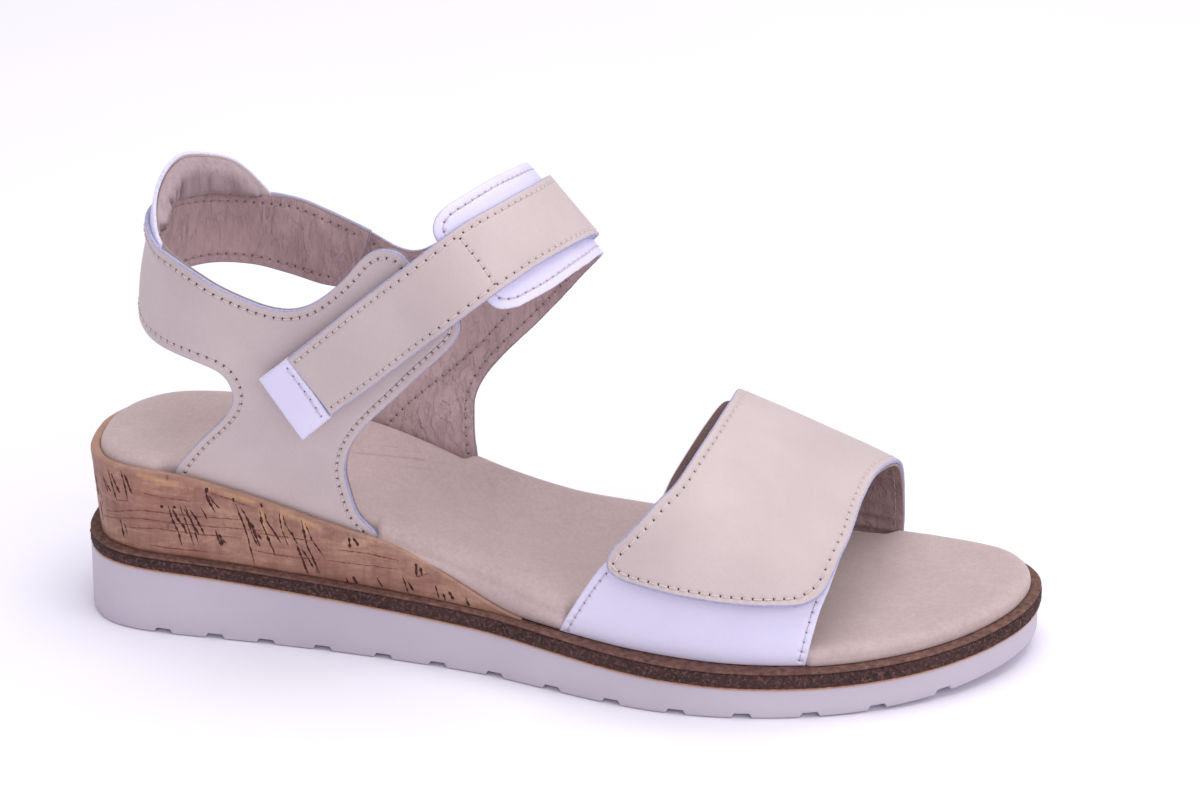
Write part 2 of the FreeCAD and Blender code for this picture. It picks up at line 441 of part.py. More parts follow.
UP_ROOT = [(38.0, 12.4), (28.0, 12.8), (18.0, 13.8), (8.0, 15.3), (-4.9, 17.9), (-11.8, 20.0), (-18.0, 21.7), (-24.0, 23.4)]
LOW_ROOT = [(-29.5, 5.2), (-25.2, 4.4), (-19.9, 3.3), (-14.2, 1.7), (-7.7, -0.3), (-2.9, -1.9), (8.0, -4.9), (18.0, -6.8), (28.0, -7.8)]
root_runs = [LOW_ROOT, [(38.0, -8.2)], UP_ROOT, [(-29.5, 24.4)]]
keep("ankle_strap_root_lining", panel(loop, drawn(R_LIN[0]), drawn(R_LIN[1]), runs=root_runs))
keep("ankle_strap_root", panel(loop, drawn(S_OUT[0]), drawn(S_OUT[1]), runs=root_runs))
free_runs = [[(-30.1, 24.5)] + UP_FREE[:-1], [UP_FREE[-1]], LOW_FREE, [(-30.1, 5.3)]]
keep("ankle_strap_outer", panel(loop, drawn(S_OUT[0]), drawn(S_OUT[1]), runs=free_runs))
keep("ankle_strap_lining", panel(loop, drawn(S_LIN[0]), drawn(S_LIN[1]), runs=free_runs))
tip_runs = [[(-84.8, 24.3)], [(-95.2, 24.2)], [(-95.9, 23.0), (-96.1, 14.5), (-96.1, 6.4)], [(-95.2, 5.4)], [(-84.6, 5.5)]]
keep("ankle_strap_tip", panel(loop, S_LIN[0], S_OUT[1], runs=tip_runs))
keep("ankle_loop_tape", panel(loop, *D_TAPE, runs=[[(-50.0, 8.0)], [(-50.0, 22.4)], [(-85.5, 22.4)], [(-85.5, 8.0)]]))
keep("ankle_hook_tape", panel(loop, D_TAPE[1] + BODY_GAP, S_LIN[0] - 0.05, runs=[[(-54.0, 8.4)], [(-54.0, 22.0)], [(-83.0, 22.0)], [(-83.0, 8.4)]]))

# fore strap: white base on the outer side, beige flap over it, inner side that carries the flap
B_TAPE = (D_OUT[1] + 0.05, D_OUT[1] + 0.05 + TAPE_T)
F_LIN, F_OUT = (4.0, 4.8), (4.9, 6.1)
BASE_REAR = [(0.0, 137.8), (0.038, 139.4), (0.087, 142.1), (0.127, 144.7), (0.162, 147.1), (0.183, 148.6), (0.26, 153.4), (0.332, 157.6),
             (0.374, 159.2), (0.431, 161.5), (0.507, 164.3), (0.598, 166.8)]
BASE_FRONT = [(0.64, 208.2), (0.564, 208.2), (0.457, 207.6), (0.366, 206.7), (0.301, 205.6), (0.244, 204.4), (0.208, 203.4), (0.16, 202.4), (0.103, 201.4), (0.04, 200.6)]
base = [BASE_REAR, [(0.64, 167.8)], BASE_FRONT, [(0.0, 200.1), (0.0, 185.0), (0.0, 165.0)]]
keep("fore_base_outer", panel(arch, *D_OUT, runs=base))
keep("fore_base_lining", panel(arch, *D_LIN, runs=base))
HINGE_T = 0.70
FLAP_REAR = [(0.68, 170.6), (0.65, 170.6), (0.596, 170.4), (0.542, 169.4), (0.497, 168.2), (0.457, 166.8), (0.42, 165.4), (0.384, 163.9), (0.355, 162.2),
             (0.333, 160.3), (0.308, 158.5), (0.284, 156.6), (0.262, 154.7), (0.24, 152.6), (0.224, 151.0), (0.211, 150.2)]
FLAP_LOW = [(0.199, 150.0), (0.187, 150.6), (0.181, 151.9), (0.177, 153.9), (0.175, 158.8), (0.175, 163.8), (0.176, 168.9), (0.178, 173.8), (0.18, 178.6), (0.183, 183.3),
            (0.187, 188.1), (0.193, 192.8), (0.198, 196.4), (0.206, 198.8)]
FLAP_FRONT = [(0.219, 201.0), (0.234, 202.5), (0.256, 203.6), (0.294, 204.8), (0.335, 205.8), (0.383, 207.0), (0.425, 207.5), (0.474, 207.9), (0.521, 208.5), (0.572, 209.3),
              (0.613, 210.2), (0.653, 211.3), (0.679, 212.0)]
flap = [[(0.697, 170.7)] + FLAP_REAR, FLAP_LOW, FLAP_FRONT, [(0.697, 212.5)]]
keep("fore_flap_outer", panel(arch, *F_OUT, runs=flap))
keep("fore_flap_lining", panel(arch, *F_LIN, runs=flap))
keep("fore_loop_tape", panel(arch, *B_TAPE, runs=[[(0.215, 160.0)], [(0.215, 196.0)], [(0.47, 202.0)], [(0.47, 174.0)]]))
keep("fore_hook_tape", panel(arch, B_TAPE[1] + BODY_GAP, F_LIN[0] - 0.05, runs=[[(0.225, 163.0)], [(0.225, 193.0)], [(0.45, 199.0)], [(0.45, 176.0)]]))
def sink(t, d): return d - F_LIN[0] * smooth(0.72, 0.90, t)
INNER_V_REAR = [(0.994, 166.2), (0.95, 167.6), (0.90, 168.6), (0.85, 169.4), (0.80, 170.0), (0.75, 170.6)]
INNER_V_FRONT = [(0.708, 212.6), (0.76, 214.0), (0.82, 215.2), (0.88, 215.8), (0.94, 215.8)]
inner_v = [INNER_V_REAR, [(0.708, 170.7)], INNER_V_FRONT, [(0.994, 215.4), (0.994, 200.0), (0.994, 180.0)]]
keep("fore_inner_outer", panel(arch, lambda t, x: sink(t, F_OUT[0]), lambda t, x: sink(t, F_OUT[1]), runs=inner_v))
keep("fore_inner_lining", panel(arch, lambda t, x: sink(t, F_LIN[0]), lambda t, x: sink(t, F_LIN[1]), runs=inner_v))

# ---------------------------------------------------------------- hinge lines, printed for the record
for nm, S, a, b, d in (("ankle", loop, (HINGE_Q, 5.3), (HINGE_Q, 24.4), S_OUT[1] - crest_in(HINGE_Q)), ("fore", arch, (HINGE_T, 171.0), (HINGE_T, 212.4), F_OUT[1])):
    p, q = place(off(S, *a, d)), place(off(S, *b, d))
    m = place(off(S, (a[0] + b[0]) / 2, (a[1] + b[1]) / 2, d))
    c = tuple((i + j) / 2 for i, j in zip(p, q))
    print(nm, "hinge from", [round(v, 3) for v in p], "to", [round(v, 3) for v in q], "bow %.3f" % sqrt(sum((i - j) ** 2 for i, j in zip(c, m))),
          "axis", [round(v, 5) for v in unit(sub(q, p))])
for name, shape in NODES.items():
    b = shape.BoundBox
    print("%-24s valid %s solids %d vol %8.1f  x %.1f..%.1f y %.1f..%.1f z %.1f..%.1f" % (
        name, shape.isValid(), len(shape.Solids), shape.Volume, b.XMin, b.XMax, b.YMin, b.YMax, b.ZMin, b.ZMax))
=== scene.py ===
"""Looks of the wedge sandal: leather, stitching, cork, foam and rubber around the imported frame.

The working tables count millimetres, x from the back of the heel and y from the heel's centre line; M() moves them to the
frame's origin and turns them into metres.
"""
import math
import bpy
import numpy as np
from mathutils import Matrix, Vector, noise
from mathutils.bvhtree import BVHTree
from mathutils.geometry import delaunay_2d_cdt


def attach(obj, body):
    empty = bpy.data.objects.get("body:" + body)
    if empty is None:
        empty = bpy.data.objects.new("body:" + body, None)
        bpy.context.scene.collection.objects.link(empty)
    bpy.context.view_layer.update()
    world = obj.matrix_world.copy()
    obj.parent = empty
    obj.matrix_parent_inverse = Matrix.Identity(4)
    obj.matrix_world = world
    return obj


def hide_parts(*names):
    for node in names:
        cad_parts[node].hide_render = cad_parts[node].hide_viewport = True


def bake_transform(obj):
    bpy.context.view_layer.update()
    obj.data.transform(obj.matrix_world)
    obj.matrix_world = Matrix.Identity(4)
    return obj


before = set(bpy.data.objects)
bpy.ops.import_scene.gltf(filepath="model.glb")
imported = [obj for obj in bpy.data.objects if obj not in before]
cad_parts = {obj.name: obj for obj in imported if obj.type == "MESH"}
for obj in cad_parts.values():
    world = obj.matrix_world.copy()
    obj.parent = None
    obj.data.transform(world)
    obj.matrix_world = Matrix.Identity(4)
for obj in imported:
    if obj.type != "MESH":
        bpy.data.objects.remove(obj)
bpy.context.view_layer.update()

rng = np.random.default_rng(7)
ORIGIN = np.array([128.0, -5.5, 0.0])
def M(p): return (np.asarray(p, float) - ORIGIN) / 1000.0


# ---------------------------------------------------------------- curves and foot surfaces, as in the CAD source
class Spline:
    def __init__(self, xs, ys):
        self.xs, self.ys, n = np.array(xs, float), np.array(ys, float), len(xs)
        A, d = np.eye(n), np.zeros(n)
        for i in range(1, n - 1):
            h0, h1 = xs[i] - xs[i - 1], xs[i + 1] - xs[i]
            A[i, i - 1:i + 2] = h0, 2 * (h0 + h1), h1
            d[i] = 6 * ((ys[i + 1] - ys[i]) / h1 - (ys[i] - ys[i - 1]) / h0)
        self.m = np.linalg.solve(A, d)
        h = self.xs[1] - self.xs[0]
        self.s0 = (self.ys[1] - self.ys[0]) / h - h * (2 * self.m[0] + self.m[1]) / 6
        h = self.xs[-1] - self.xs[-2]
        self.s1 = (self.ys[-1] - self.ys[-2]) / h + h * (self.m[-2] + 2 * self.m[-1]) / 6

    def __call__(self, x):
        x = np.asarray(x, float)
        xs, ys, m = self.xs, self.ys, self.m
        c = np.clip(x, xs[0], xs[-1])
        i = np.clip(np.searchsorted(xs, c, side="right") - 1, 0, len(xs) - 2)
        h = xs[i + 1] - xs[i]
        a, b = (xs[i + 1] - c) / h, (c - xs[i]) / h
        y = a * ys[i] + b * ys[i + 1] + ((a ** 3 - a) * m[i] + (b ** 3 - b) * m[i + 1]) * h * h / 6
        return y + np.minimum(x - xs[0], 0) * self.s0 + np.maximum(x - xs[-1], 0) * self.s1


def smooth(a, b, x):
    t = np.clip((np.asarray(x, float) - a) / (b - a), 0, 1)
    return t * t * (3 - 2 * t)


SHEET_LOW_T, SHEET_TOP_T = 0.5, 0.8
OUTSOLE_SET_IN, CORK_SET_IN, CORK_T, FOOTBED_SET_IN, NOTCH = 0.9, 2.4, 1.5, 4.05, 2.9
Z_BOT = Spline([0, 60, 120, 178, 205, 232, 256], [0, 0, 0, 0.0, 0.1, 1.4, 4.3])
Z_OUT = Spline([0, 30, 60, 90, 120, 150, 180, 210, 235, 256], [18.5, 17.9, 16.0, 14.1, 12.2, 9.9, 8.4, 8.2, 9.3, 11.2])
PLATFORM_T = Spline([0, 30, 60, 90, 120, 150, 180, 256], [4.2, 4.5, 4.8, 5.1, 5.3, 5.3, 5.2, 5.2])
Z_RIM = Spline([0, 20, 30, 40, 57, 69, 80, 91, 102, 113.5, 122, 127],
               [46.6, 46.6, 46.0, 44.2, 40.2, 37.1, 34.6, 31.9, 27.3, 21.5, 18.3, 17.4])
Z_FB = Spline([0, 20, 40, 60, 80, 100, 120, 140, 160, 180, 205, 235, 256],
              [49.4, 49.0, 46.6, 42.8, 38.6, 33.8, 28.6, 23.9, 20.3, 18.6, 18.2, 19.3, 20.8])
ARCH_RISE = Spline([0, 30, 50, 73, 85, 95, 109, 129, 150, 180, 215, 256], [0, 0.6, 3.4, 6.0, 6.4, 6.0, 4.7, 2.7, 1.8, 0.6, 0, 0])
STACK_T = Spline([0, 60, 100, 130, 140, 150, 160], [7.0, 7.0, 6.7, 6.4, 6.0, 5.6, 5.1])
def z_plat(x): return Z_OUT(x) + PLATFORM_T(x)
def rise(x, y): return ARCH_RISE(x) * smooth(-4, 16, y)
PAD_RISE = Spline([0, 20, 40, 60, 80, 95, 109, 129, 150, 180, 215, 245, 256], [0.2, 0.9, 1.3, 1.5, 2.3, 3.2, 3.4, 2.7, 2.3, 1.6, 0.8, 0.1, 0])
def pad_rise(x, y): return PAD_RISE(x) * smooth(2, 22, y)

PLAT = np.array([(-1.3, 0.0), (0.2, -12.2), (5.5, -22.0), (13.6, -27.5), (25.0, -29.8), (46.0, -30.6), (70.0, -32.0), (92.0, -34.4),
        (114.0, -38.0), (131.0, -43.0), (148.0, -48.0), (164.0, -50.9), (180.0, -50.9), (196.0, -48.2), (211.0, -43.4),
        (225.0, -36.2), (237.0, -27.2), (246.5, -16.6), (253.3, -4.4), (256.0, 9.5), (253.4, 21.0), (246.0, 30.0),
        (232.0, 36.0), (215.0, 39.0), (196.0, 39.8), (178.0, 38.0), (160.0, 33.6), (143.0, 27.6), (126.0, 22.2),
        (108.0, 19.4), (90.0, 20.8), (70.0, 25.0), (48.0, 28.8), (28.0, 29.4), (13.6, 26.1), (4.3, 18.5), (-0.3, 9.0)])

def platform_curve(n):
    """n points round the platform, evenly spaced, each with its inward direction."""
    k, m = len(PLAT), 4000
    s = np.arange(m) * k / m
    i, t = s.astype(int) % k, (s - s.astype(int))[:, None]
    p0, p1, p2, p3 = PLAT[i - 1], PLAT[i], PLAT[(i + 1) % k], PLAT[(i + 2) % k]
    c = 0.5 * (2 * p1 + (p2 - p0) * t + (2 * p0 - 5 * p1 + 4 * p2 - p3) * t ** 2 + (3 * p1 - p0 - 3 * p2 + p3) * t ** 3)
    seg = np.hypot(*(np.roll(c, -1, 0) - c).T)
    arc = np.r_[0, np.cumsum(seg)]
    cc = np.vstack([c, c[:1]])
    at = np.arange(n) * arc[-1] / n
    pts = np.c_[np.interp(at, arc, cc[:, 0]), np.interp(at, arc, cc[:, 1])]
    tang = np.roll(pts, -1, 0) - np.roll(pts, 1, 0)
    tang /= np.hypot(*tang.T)[:, None]
    return pts, np.c_[-tang[:, 1], tang[:, 0]], arc[-1]

PTS, INW, PERIM = platform_curve(760)
ARC = np.arange(760) * PERIM / 760
def footbed_inset(x, y):
    lo = smooth(22, 27, x) * (1 - smooth(82.2, 85.6, x)) + smooth(134.2, 137.7, x) * (1 - smooth(199.6, 203.0, x))
    hi = smooth(38, 43, x) * (1 - smooth(99.0, 102.5, x)) + smooth(163.5, 167.5, x) * (1 - smooth(212.0, 216.0, x))
    return FOOTBED_SET_IN + NOTCH * np.where(np.asarray(y) < 0, lo, hi)
def core_top(x, y): return np.maximum(Z_FB(x) + rise(x, y) - STACK_T(np.minimum(x, 160)), z_plat(x) + 0.35)

HEEL_X = Spline([40, 50, 62, 75, 86, 95, 103, 111, 118, 124, 130], [6.6, 8.4, 12.4, 15.6, 16.2, 17.0, 18.6, 20.2, 21.8, 24.4, 28.0])
HEEL_W = Spline([40, 50, 62, 75, 90, 105, 118, 128], [23.8, 24.6, 26.2, 27.0, 26.2, 24.2, 22.6, 22.0])
HEEL_R = 27.0
RING_ARC = HEEL_R * math.pi / 2
Y_FOOT_L = Spline([0, 30, 46, 70, 84, 92, 110, 140], [23.0, 23.5, 24.15, 25.5, 26.9, 27.9, 30.3, 33.0])
Y_FOOT_M = Spline([0, 28, 48, 70, 90, 108, 140], [23.4, 23.0, 22.3, 18.6, 14.3, 12.9, 17.0])
Y_UP_M = Spline([0, 28, 48, 70, 90, 108, 140], [25.0, 25.4, 26.0, 26.5, 26.8, 27.0, 27.0])
def wall(side, x, z):
    h = z - Z_FB(x)
    lo = Y_FOOT_L(x) + 3.6 * smooth(0, 34, h) + 0.8 * smooth(30, 60, h)
    w = Y_FOOT_M(x)
    return np.where(side < 0, lo, w + (Y_UP_M(x) - w) * smooth(2, 48, h))
def ring(u, z):
    u, z = np.broadcast_arrays(np.asarray(u, float), np.asarray(z, float))
    side, a, xb = np.where(u < 0, -1.0, 1.0), np.abs(u), HEEL_X(z)
    th = np.minimum(a / RING_ARC, 1.0) * math.pi / 2
    w = HEEL_W(z) + (wall(side, xb + HEEL_R, z) - HEEL_W(z)) * smooth(0.2, 1.0, a / RING_ARC)
    x2 = xb + HEEL_R + np.maximum(a - RING_ARC, 0)
    near = a < RING_ARC
    return np.stack([np.where(near, xb + HEEL_R * (1 - np.cos(th)), x2), side * np.where(near, w * np.sin(th), wall(side, x2, z)), z], -1)

BETA = 40.0 * math.pi / 180
CREST_P = Spline([-40, -8, 8, 24, 40], [170.6, 170.8, 170.8, 170.4, 169.6])
CREST_A = 30.0
LOOP_ARC = CREST_A * math.pi / 2
def loop(q, n):
    q, n = np.broadcast_arrays(np.asarray(q, float), np.asarray(n, float))
    side, a, pc = np.where(q < 0, -1.0, 1.0), np.abs(q), CREST_P(n)
    th = np.minimum(a / LOOP_ARC, 1.0) * math.pi / 2
    p = pc - CREST_A * (1 - np.cos(th)) - np.maximum(a - LOOP_ARC, 0)
    f = np.sin(th)
    x, z = p * math.cos(BETA) - n * math.sin(BETA), p * math.sin(BETA) + n * math.cos(BETA)
    return np.stack([x, side * wall(side, x, z) * f + 2.0 * (1 - f), z], -1)

ARCH_T = [0, .08, .2, .32, .43, .53, .62, .72, .82, .92, 1]
ARCH_Y = Spline(ARCH_T, [-1.0, -1.01, -0.97, -0.80, -0.53, -0.20, 0.14, 0.52, 0.83, 1.0, 0.98])
ARCH_Z = Spline(ARCH_T, [0.0, 0.14, 0.42, 0.68, 0.86, 0.97, 1.0, 0.93, 0.72, 0.30, 0.0])
V_L = Spline([120, 133, 150, 165, 180, 195, 207, 220], [36.2, 38.2, 42.3, 44.3, 44.5, 42.3, 39.3, 34.7])
V_M = Spline([120, 150, 170, 185, 200, 216, 230], [15.8, 24.0, 30.3, 33.0, 34.0, 33.3, 30.5])
V_CREST = Spline([120, 150, 172, 186.5, 197, 208, 217, 230], [78.4, 69.3, 60.2, 53.9, 49.2, 44.2, 40.0, 34.2])
def arch(t, x):
    t, x = np.broadcast_arrays(np.asarray(t, float), np.asarray(x, float))
    a, b, z0 = ARCH_Y(t), ARCH_Z(t), z_plat(x) + 0.3
    return np.stack([x, a * np.where(a < 0, V_L(x), V_M(x)) + 2.0 * b, z0 + (V_CREST(x) - z0) * b], -1)

def unit(a): return a / np.maximum(np.linalg.norm(a, axis=-1, keepdims=True), 1e-12)
OUTWARD = {}
def normal(S, u, v):
    eu = 0.004 if S is arch else 0.4
    n = unit(np.cross(S(u + eu, v) - S(u - eu, v), S(u, v + 0.4) - S(u, v - 0.4)))
    return n * OUTWARD.get(S, 1)
for S_, uv_, want_ in ((ring, (0., 90.), (-1, 0, 0)), (loop, (0., 0.), (1, 0, 1)), (arch, (0.6, 190.), (0, 0, 1))):
    OUTWARD[S_] = 1 if np.dot(normal(S_, *uv_), want_) > 0 else -1
def off(S, u, v, d):
    u, v = np.asarray(u, float), np.asarray(v, float)
    if callable(d):
        d = d(u, v)
    return S(u, v) + normal(S, u, v) * np.broadcast_to(np.asarray(d, float), u.shape)[..., None]
def metric(S, u, v):
    eu = 0.002 if S is arch else 0.3
    return (np.linalg.norm(S(u + eu, v) - S(u - eu, v), axis=-1) / (2 * eu), np.linalg.norm(S(u, v + 0.3) - S(u, v - 0.3), axis=-1) / 0.6)


# ---------------------------------------------------------------- outlines
def even(pts, su, pitch):
    pts = np.array(pts, float)
    if len(pts) < 3:
        n = max(1, int(round(np.hypot(*((pts[1] - pts[0]) * (su, 1))) / pitch)))
        return pts[0] + (pts[1] - pts[0]) * np.linspace(0, 1, n + 1)[:, None]
    s = np.r_[0, np.cumsum(np.maximum(1e-6, np.hypot(*((pts[1:] - pts[:-1]) * (su, 1)).T)))]
    n = max(3, int(round(s[-1] / pitch)))
    at = np.linspace(0, s[-1], n + 1)
    return np.c_[Spline(s, pts[:, 0])(at), Spline(s, pts[:, 1])(at)]

class Outline:
    """Closed outline in a surface's own coordinates, made of named smooth runs and turned anticlockwise."""
    def __init__(self, S, runs, pitch=1.1):
        self.S, self.su = S, (150.0 if S is arch else 1.0)
        self.runs = [even(list(r) + [runs[(i + 1) % len(runs)][0]], self.su, pitch) for i, r in enumerate(runs)]
        p = np.vstack([r[:-1] for r in self.runs])
        self.flip = np.sum(p[:, 0] * np.roll(p[:, 1], -1) - np.roll(p[:, 0], -1) * p[:, 1]) < 0
        self.poly = p[::-1] if self.flip else p

    def path(self, first, last, w, trim=(0.0, 0.0), step=0.5):
        """Line w mm inside the outline along runs first to last, cut back by trim at its ends, for a row of stitches."""
        p = np.vstack([self.runs[i % len(self.runs)][:-1] for i in range(first, last + 1)] + [self.runs[last % len(self.runs)][-1:]])
        w = w(p[:, 0], p[:, 1]) if callable(w) else w
        q = inset(self.S, p, w * (-1.0 if self.flip else 1.0), closed=False)
        q = resample(self.S, q, step)
        s = arc_of(self.S, q)
        keep = (s >= trim[0]) & (s <= s[-1] - trim[1])
        return q[keep]

def arc_of(S, path):
    x = S(path[:, 0], path[:, 1])
    return np.r_[0, np.cumsum(np.linalg.norm(x[1:] - x[:-1], axis=1))]
def resample(S, path, step):
    s = arc_of(S, path)
    at = np.linspace(0, s[-1], max(2, int(round(s[-1] / step)) + 1))
    return np.c_[np.interp(at, s, path[:, 0]), np.interp(at, s, path[:, 1])]

def inset(S, p, w, closed=True):
    """Points moved w mm to the left of the way they run, measured on the surface."""
    E, G = metric(S, p[:, 0], p[:, 1])
    mm = lambda a: a * np.c_[E, G]
    if closed:
        d0, d1 = p - np.roll(p, 1, 0), np.roll(p, -1, 0) - p
    else:
        d = p[1:] - p[:-1]
        d0, d1 = np.vstack([d[:1], d]), np.vstack([d, d[-1:]])
    t0, t1 = unit(mm(d0)), unit(mm(d1))
    n0, n1 = np.c_[-t0[:, 1], t0[:, 0]], np.c_[-t1[:, 1], t1[:, 0]]
    n = unit(n0 + n1)
    k = 1 / np.maximum(0.45, np.sum(n * n0, 1))
    return p + n * (w * k)[:, None] / np.c_[E, G]

def inside(poly, pts):
    x, y = pts[:, 0][:, None], pts[:, 1][:, None]
    a, b = poly, np.roll(poly, -1, 0)
    with np.errstate(divide="ignore", invalid="ignore"):
        hit = ((a[:, 1] > y) != (b[:, 1] > y)) & (x < (b[:, 0] - a[:, 0]) * (y - a[:, 1]) / (b[:, 1] - a[:, 1]) + a[:, 0])
    return hit.sum(1) % 2 == 1
def dist_to(line, pts, closed=True):
    a = line
    b = np.roll(line, -1, 0) if closed else line[1:]
    a = a if closed else line[:-1]
    out = np.full(len(pts), 1e9)
    for i in range(0, len(pts), 2000):
        p = pts[i:i + 2000][:, None, :]
        d = b - a
        t = np.clip(np.sum((p - a) * d, -1) / np.maximum(np.sum(d * d, -1), 1e-12), 0, 1)
        out[i:i + 2000] = np.min(np.linalg.norm(p - (a + t[..., None] * d), axis=-1), 1)
    return out

def fbm(p, scale, octaves=3, seed=0.0):
    """Smooth noise about -1 to 1 at points p in mm; scale is the size in mm of its largest features."""
    sc = np.broadcast_to(np.asarray(scale, float), (3,))
    return np.array([noise.fractal(Vector((a / sc[0] + seed, b / sc[1] - seed, c / sc[2] + 2 * seed)), 0.9, 2.0, octaves) for a, b, c in p])


# ---------------------------------------------------------------- meshes
def new_object(name, verts, faces, mats, face_mat=None, smooth_shade=True):
    me = bpy.data.meshes.new(name)
    me.from_pydata([tuple(v) for v in M(verts)], [], faces)
    for m in mats:
        me.materials.append(m)
    if face_mat is not None:
        me.polygons.foreach_set("material_index", np.array(face_mat, np.int32))
    me.polygons.foreach_set("use_smooth", np.full(len(me.polygons), smooth_shade))
    me.update()
    me.validate()
    ob = bpy.data.objects.new(name, me)
    bpy.context.scene.collection.objects.link(ob)
    return ob

def pitch_of(S): return 2.55 if S is arch else 2.42
def holes_of(S, path):
    s = arc_of(S, path)
    n = max(1, int(round(s[-1] / pitch_of(S))))
    at = np.linspace(0, s[-1], n + 1)
    return np.c_[np.interp(at, s, path[:, 0]), np.interp(at, s, path[:, 1])]

def leather(name, ol, d0, d1, mats, rows=(), face="out", grid=1.6, r=0.3, relief=None, relief_in=None, pits=True, dart=0.42, zone=None, seam=None, hole=1.0):
    """Sheet of leather inside outline ol between offsets d0 and d1, with rolled cut edges and, along each row, a sewn
    channel
    with a needle pit at each stitch. mats: grain side, cut edge, flesh side, pit (painted shade: a dark colour standing
    in for the shade inside the needle hole)."""
    S, su = ol.S, np.array([ol.su, 1.0])
    edge = ol.poly
    ins = inset(S, edge, r)
    mm = lambda a: np.asarray(a) * su
    pm = mm(ins)
    lo, hi = pm.min(0), pm.max(0)
    gx, gy = np.meshgrid(np.arange(lo[0], hi[0], grid), np.arange(lo[1], hi[1], grid * 0.866))
    gx = gx + (np.arange(gx.shape[0]) % 2)[:, None] * grid / 2
    g = np.c_[gx.ravel(), gy.ravel()]
    g = g[inside(pm, g)]
    g = g[dist_to(pm, g) > grid * 0.55]
    pts, kind = [pm], [np.zeros(len(pm), int)]
    for row in rows:
        E, G = metric(S, row[:, 0], row[:, 1])
        g = g[dist_to(mm(row), g, False) > 1.15]
        h = holes_of(S, row)
        E, G = metric(S, h[:, 0], h[:, 1])
        a = np.arange(8) * math.pi / 4
        c = np.c_[np.cos(a), np.sin(a)]
        for k_, rad in ((2, 0.0), (3, 0.25 * hole), (4, 0.42 * hole)):
            if k_ == 2:
                q = h
            elif not pits:
                continue
            else:
                q = (h[:, None, :] + c[None] * rad / np.c_[E, G][:, None, :]).reshape(-1, 2)
            pts.append(mm(q)); kind.append(np.full(len(q), k_ if pits else 1))
        mid = (h[1:] + h[:-1]) / 2
        pts.append(mm(mid)); kind.append(np.full(len(mid), 1))
        for w in (0.95, -0.95):
            q = inset(S, resample(S, row, pitch_of(S) / 2), w, closed=False)
            pts.append(mm(q)); kind.append(np.full(len(q), 5))
    if seam is not None:
        q = resample(S, np.array(seam), 0.6)
        g = g[dist_to(mm(q), g, False) > 0.8]
        pts.append(mm(q)); kind.append(np.full(len(q), 1))
    pts.append(g); kind.append(np.full(len(g), 6))
    allp, kind = np.vstack(pts), np.concatenate(kind)
    ok = np.r_[np.ones(len(pm), bool), inside(pm, allp[len(pm):])]
    allp, kind = allp[ok], kind[ok]
    n = len(pm)
    vo, _, fo, orig, _, _ = delaunay_2d_cdt([Vector(p) for p in allp], [(i, (i + 1) % n) for i in range(n)], [], 1, 1e-5)
    src = np.array([o[0] if o else -1 for o in orig])
    uv = np.array([tuple(v) for v in vo]) / su
    kd = np.where(src >= 0, kind[np.maximum(src, 0)], 6)
    u, v = uv[:, 0], uv[:, 1]
    drop = np.zeros(len(uv))
    drop[kd == 1] = 0.06
    drop[kd == 2] = 0.75
    drop[kd == 3] = dart
    drop[kd == 4] = 0.06
    D1 = d1(u, v) if callable(d1) else np.full(len(u), float(d1))
    D0 = d0(u, v) if callable(d0) else np.full(len(u), float(d0))
    base = S(u, v)
    rim = np.clip(dist_to(mm(edge), uv * su) / 2.5, 0, 1)
    up = (relief(u, v, base) * rim if relief else 0.0)
    dn = (relief_in(u, v, base) * rim if relief_in else 0.0)
    thick = D1 - D0
    pit = np.minimum(drop, 0.6 * thick)
    nrm = normal(S, u, v)
    top = base + nrm * (D1 + up - (pit if face == "out" else 0))[:, None]
    bot = base + nrm * (D0 - dn + (pit if face == "in" else 0))[:, None]
    N = len(uv)
    back = {}
    for i, o in enumerate(orig):
        for k in o:
            back[k] = i
    ring_i = [back[i] for i in range(n)]
    eu, ev = edge[:, 0], edge[:, 1]
    E1 = d1(eu, ev) if callable(d1) else np.full(n, float(d1))
    E0 = d0(eu, ev) if callable(d0) else np.full(n, float(d0))
    rr = np.minimum(r, 0.45 * (E1 - E0))
    fuzz = 0.05 * rng.standard_normal(n)
    mid_uv = edge + (ins - edge) * 0.293
    out_uv = inset(S, edge, -1.0)
    def at(q, d): return off(S, q[:, 0], q[:, 1], d)
    rings = [at(mid_uv, E1 - 0.293 * rr), at(edge + (edge - out_uv) * (fuzz * 0.4)[:, None], E1 - rr),
             at(edge + (edge - out_uv) * (fuzz * 0.8)[:, None], (E1 + E0) / 2), at(edge, E0 + rr), at(mid_uv, E0 + 0.293 * rr)]
    verts = np.vstack([top, bot] + rings)
    faces, fm = [], []
    a_ = np.array([f for f in fo])
    # faces inside the needle pits take material 3, the painted shade of the needle holes
    dark = np.isin(kd, (2, 3))
    for f in fo:
        pitf = pits and all(dark[i] for i in f)
        other = zone is not None and zone(uv[list(f)].mean(0))
        faces.append(tuple(f)); fm.append(3 if (pitf and face == "out") else 4 if other else 0)
        faces.append(tuple(i + N for i in reversed(f))); fm.append(3 if (pitf and face == "in") else 2)
    levels = [ring_i] + [list(range(2 * N + k * n, 2 * N + (k + 1) * n)) for k in range(5)] + [[i + N for i in ring_i]]
    lm = [1, 1, 1, 1, 1, 1]
    for k in range(6):
        A, B = levels[k], levels[k + 1]
        for i in range(n):
            j = (i + 1) % n
            faces.append((A[i], B[i], B[j], A[j])); fm.append(lm[k])
    used = np.zeros(len(verts), bool)
    ob = new_object(name, verts, faces, mats, fm)
    if OUTWARD[S] * (1 if S is not None else 1) and np.dot(np.array(ob.data.polygons[0].normal), nrm[fo[0][0]]) < 0:
        ob.data.flip_normals()
    return ob

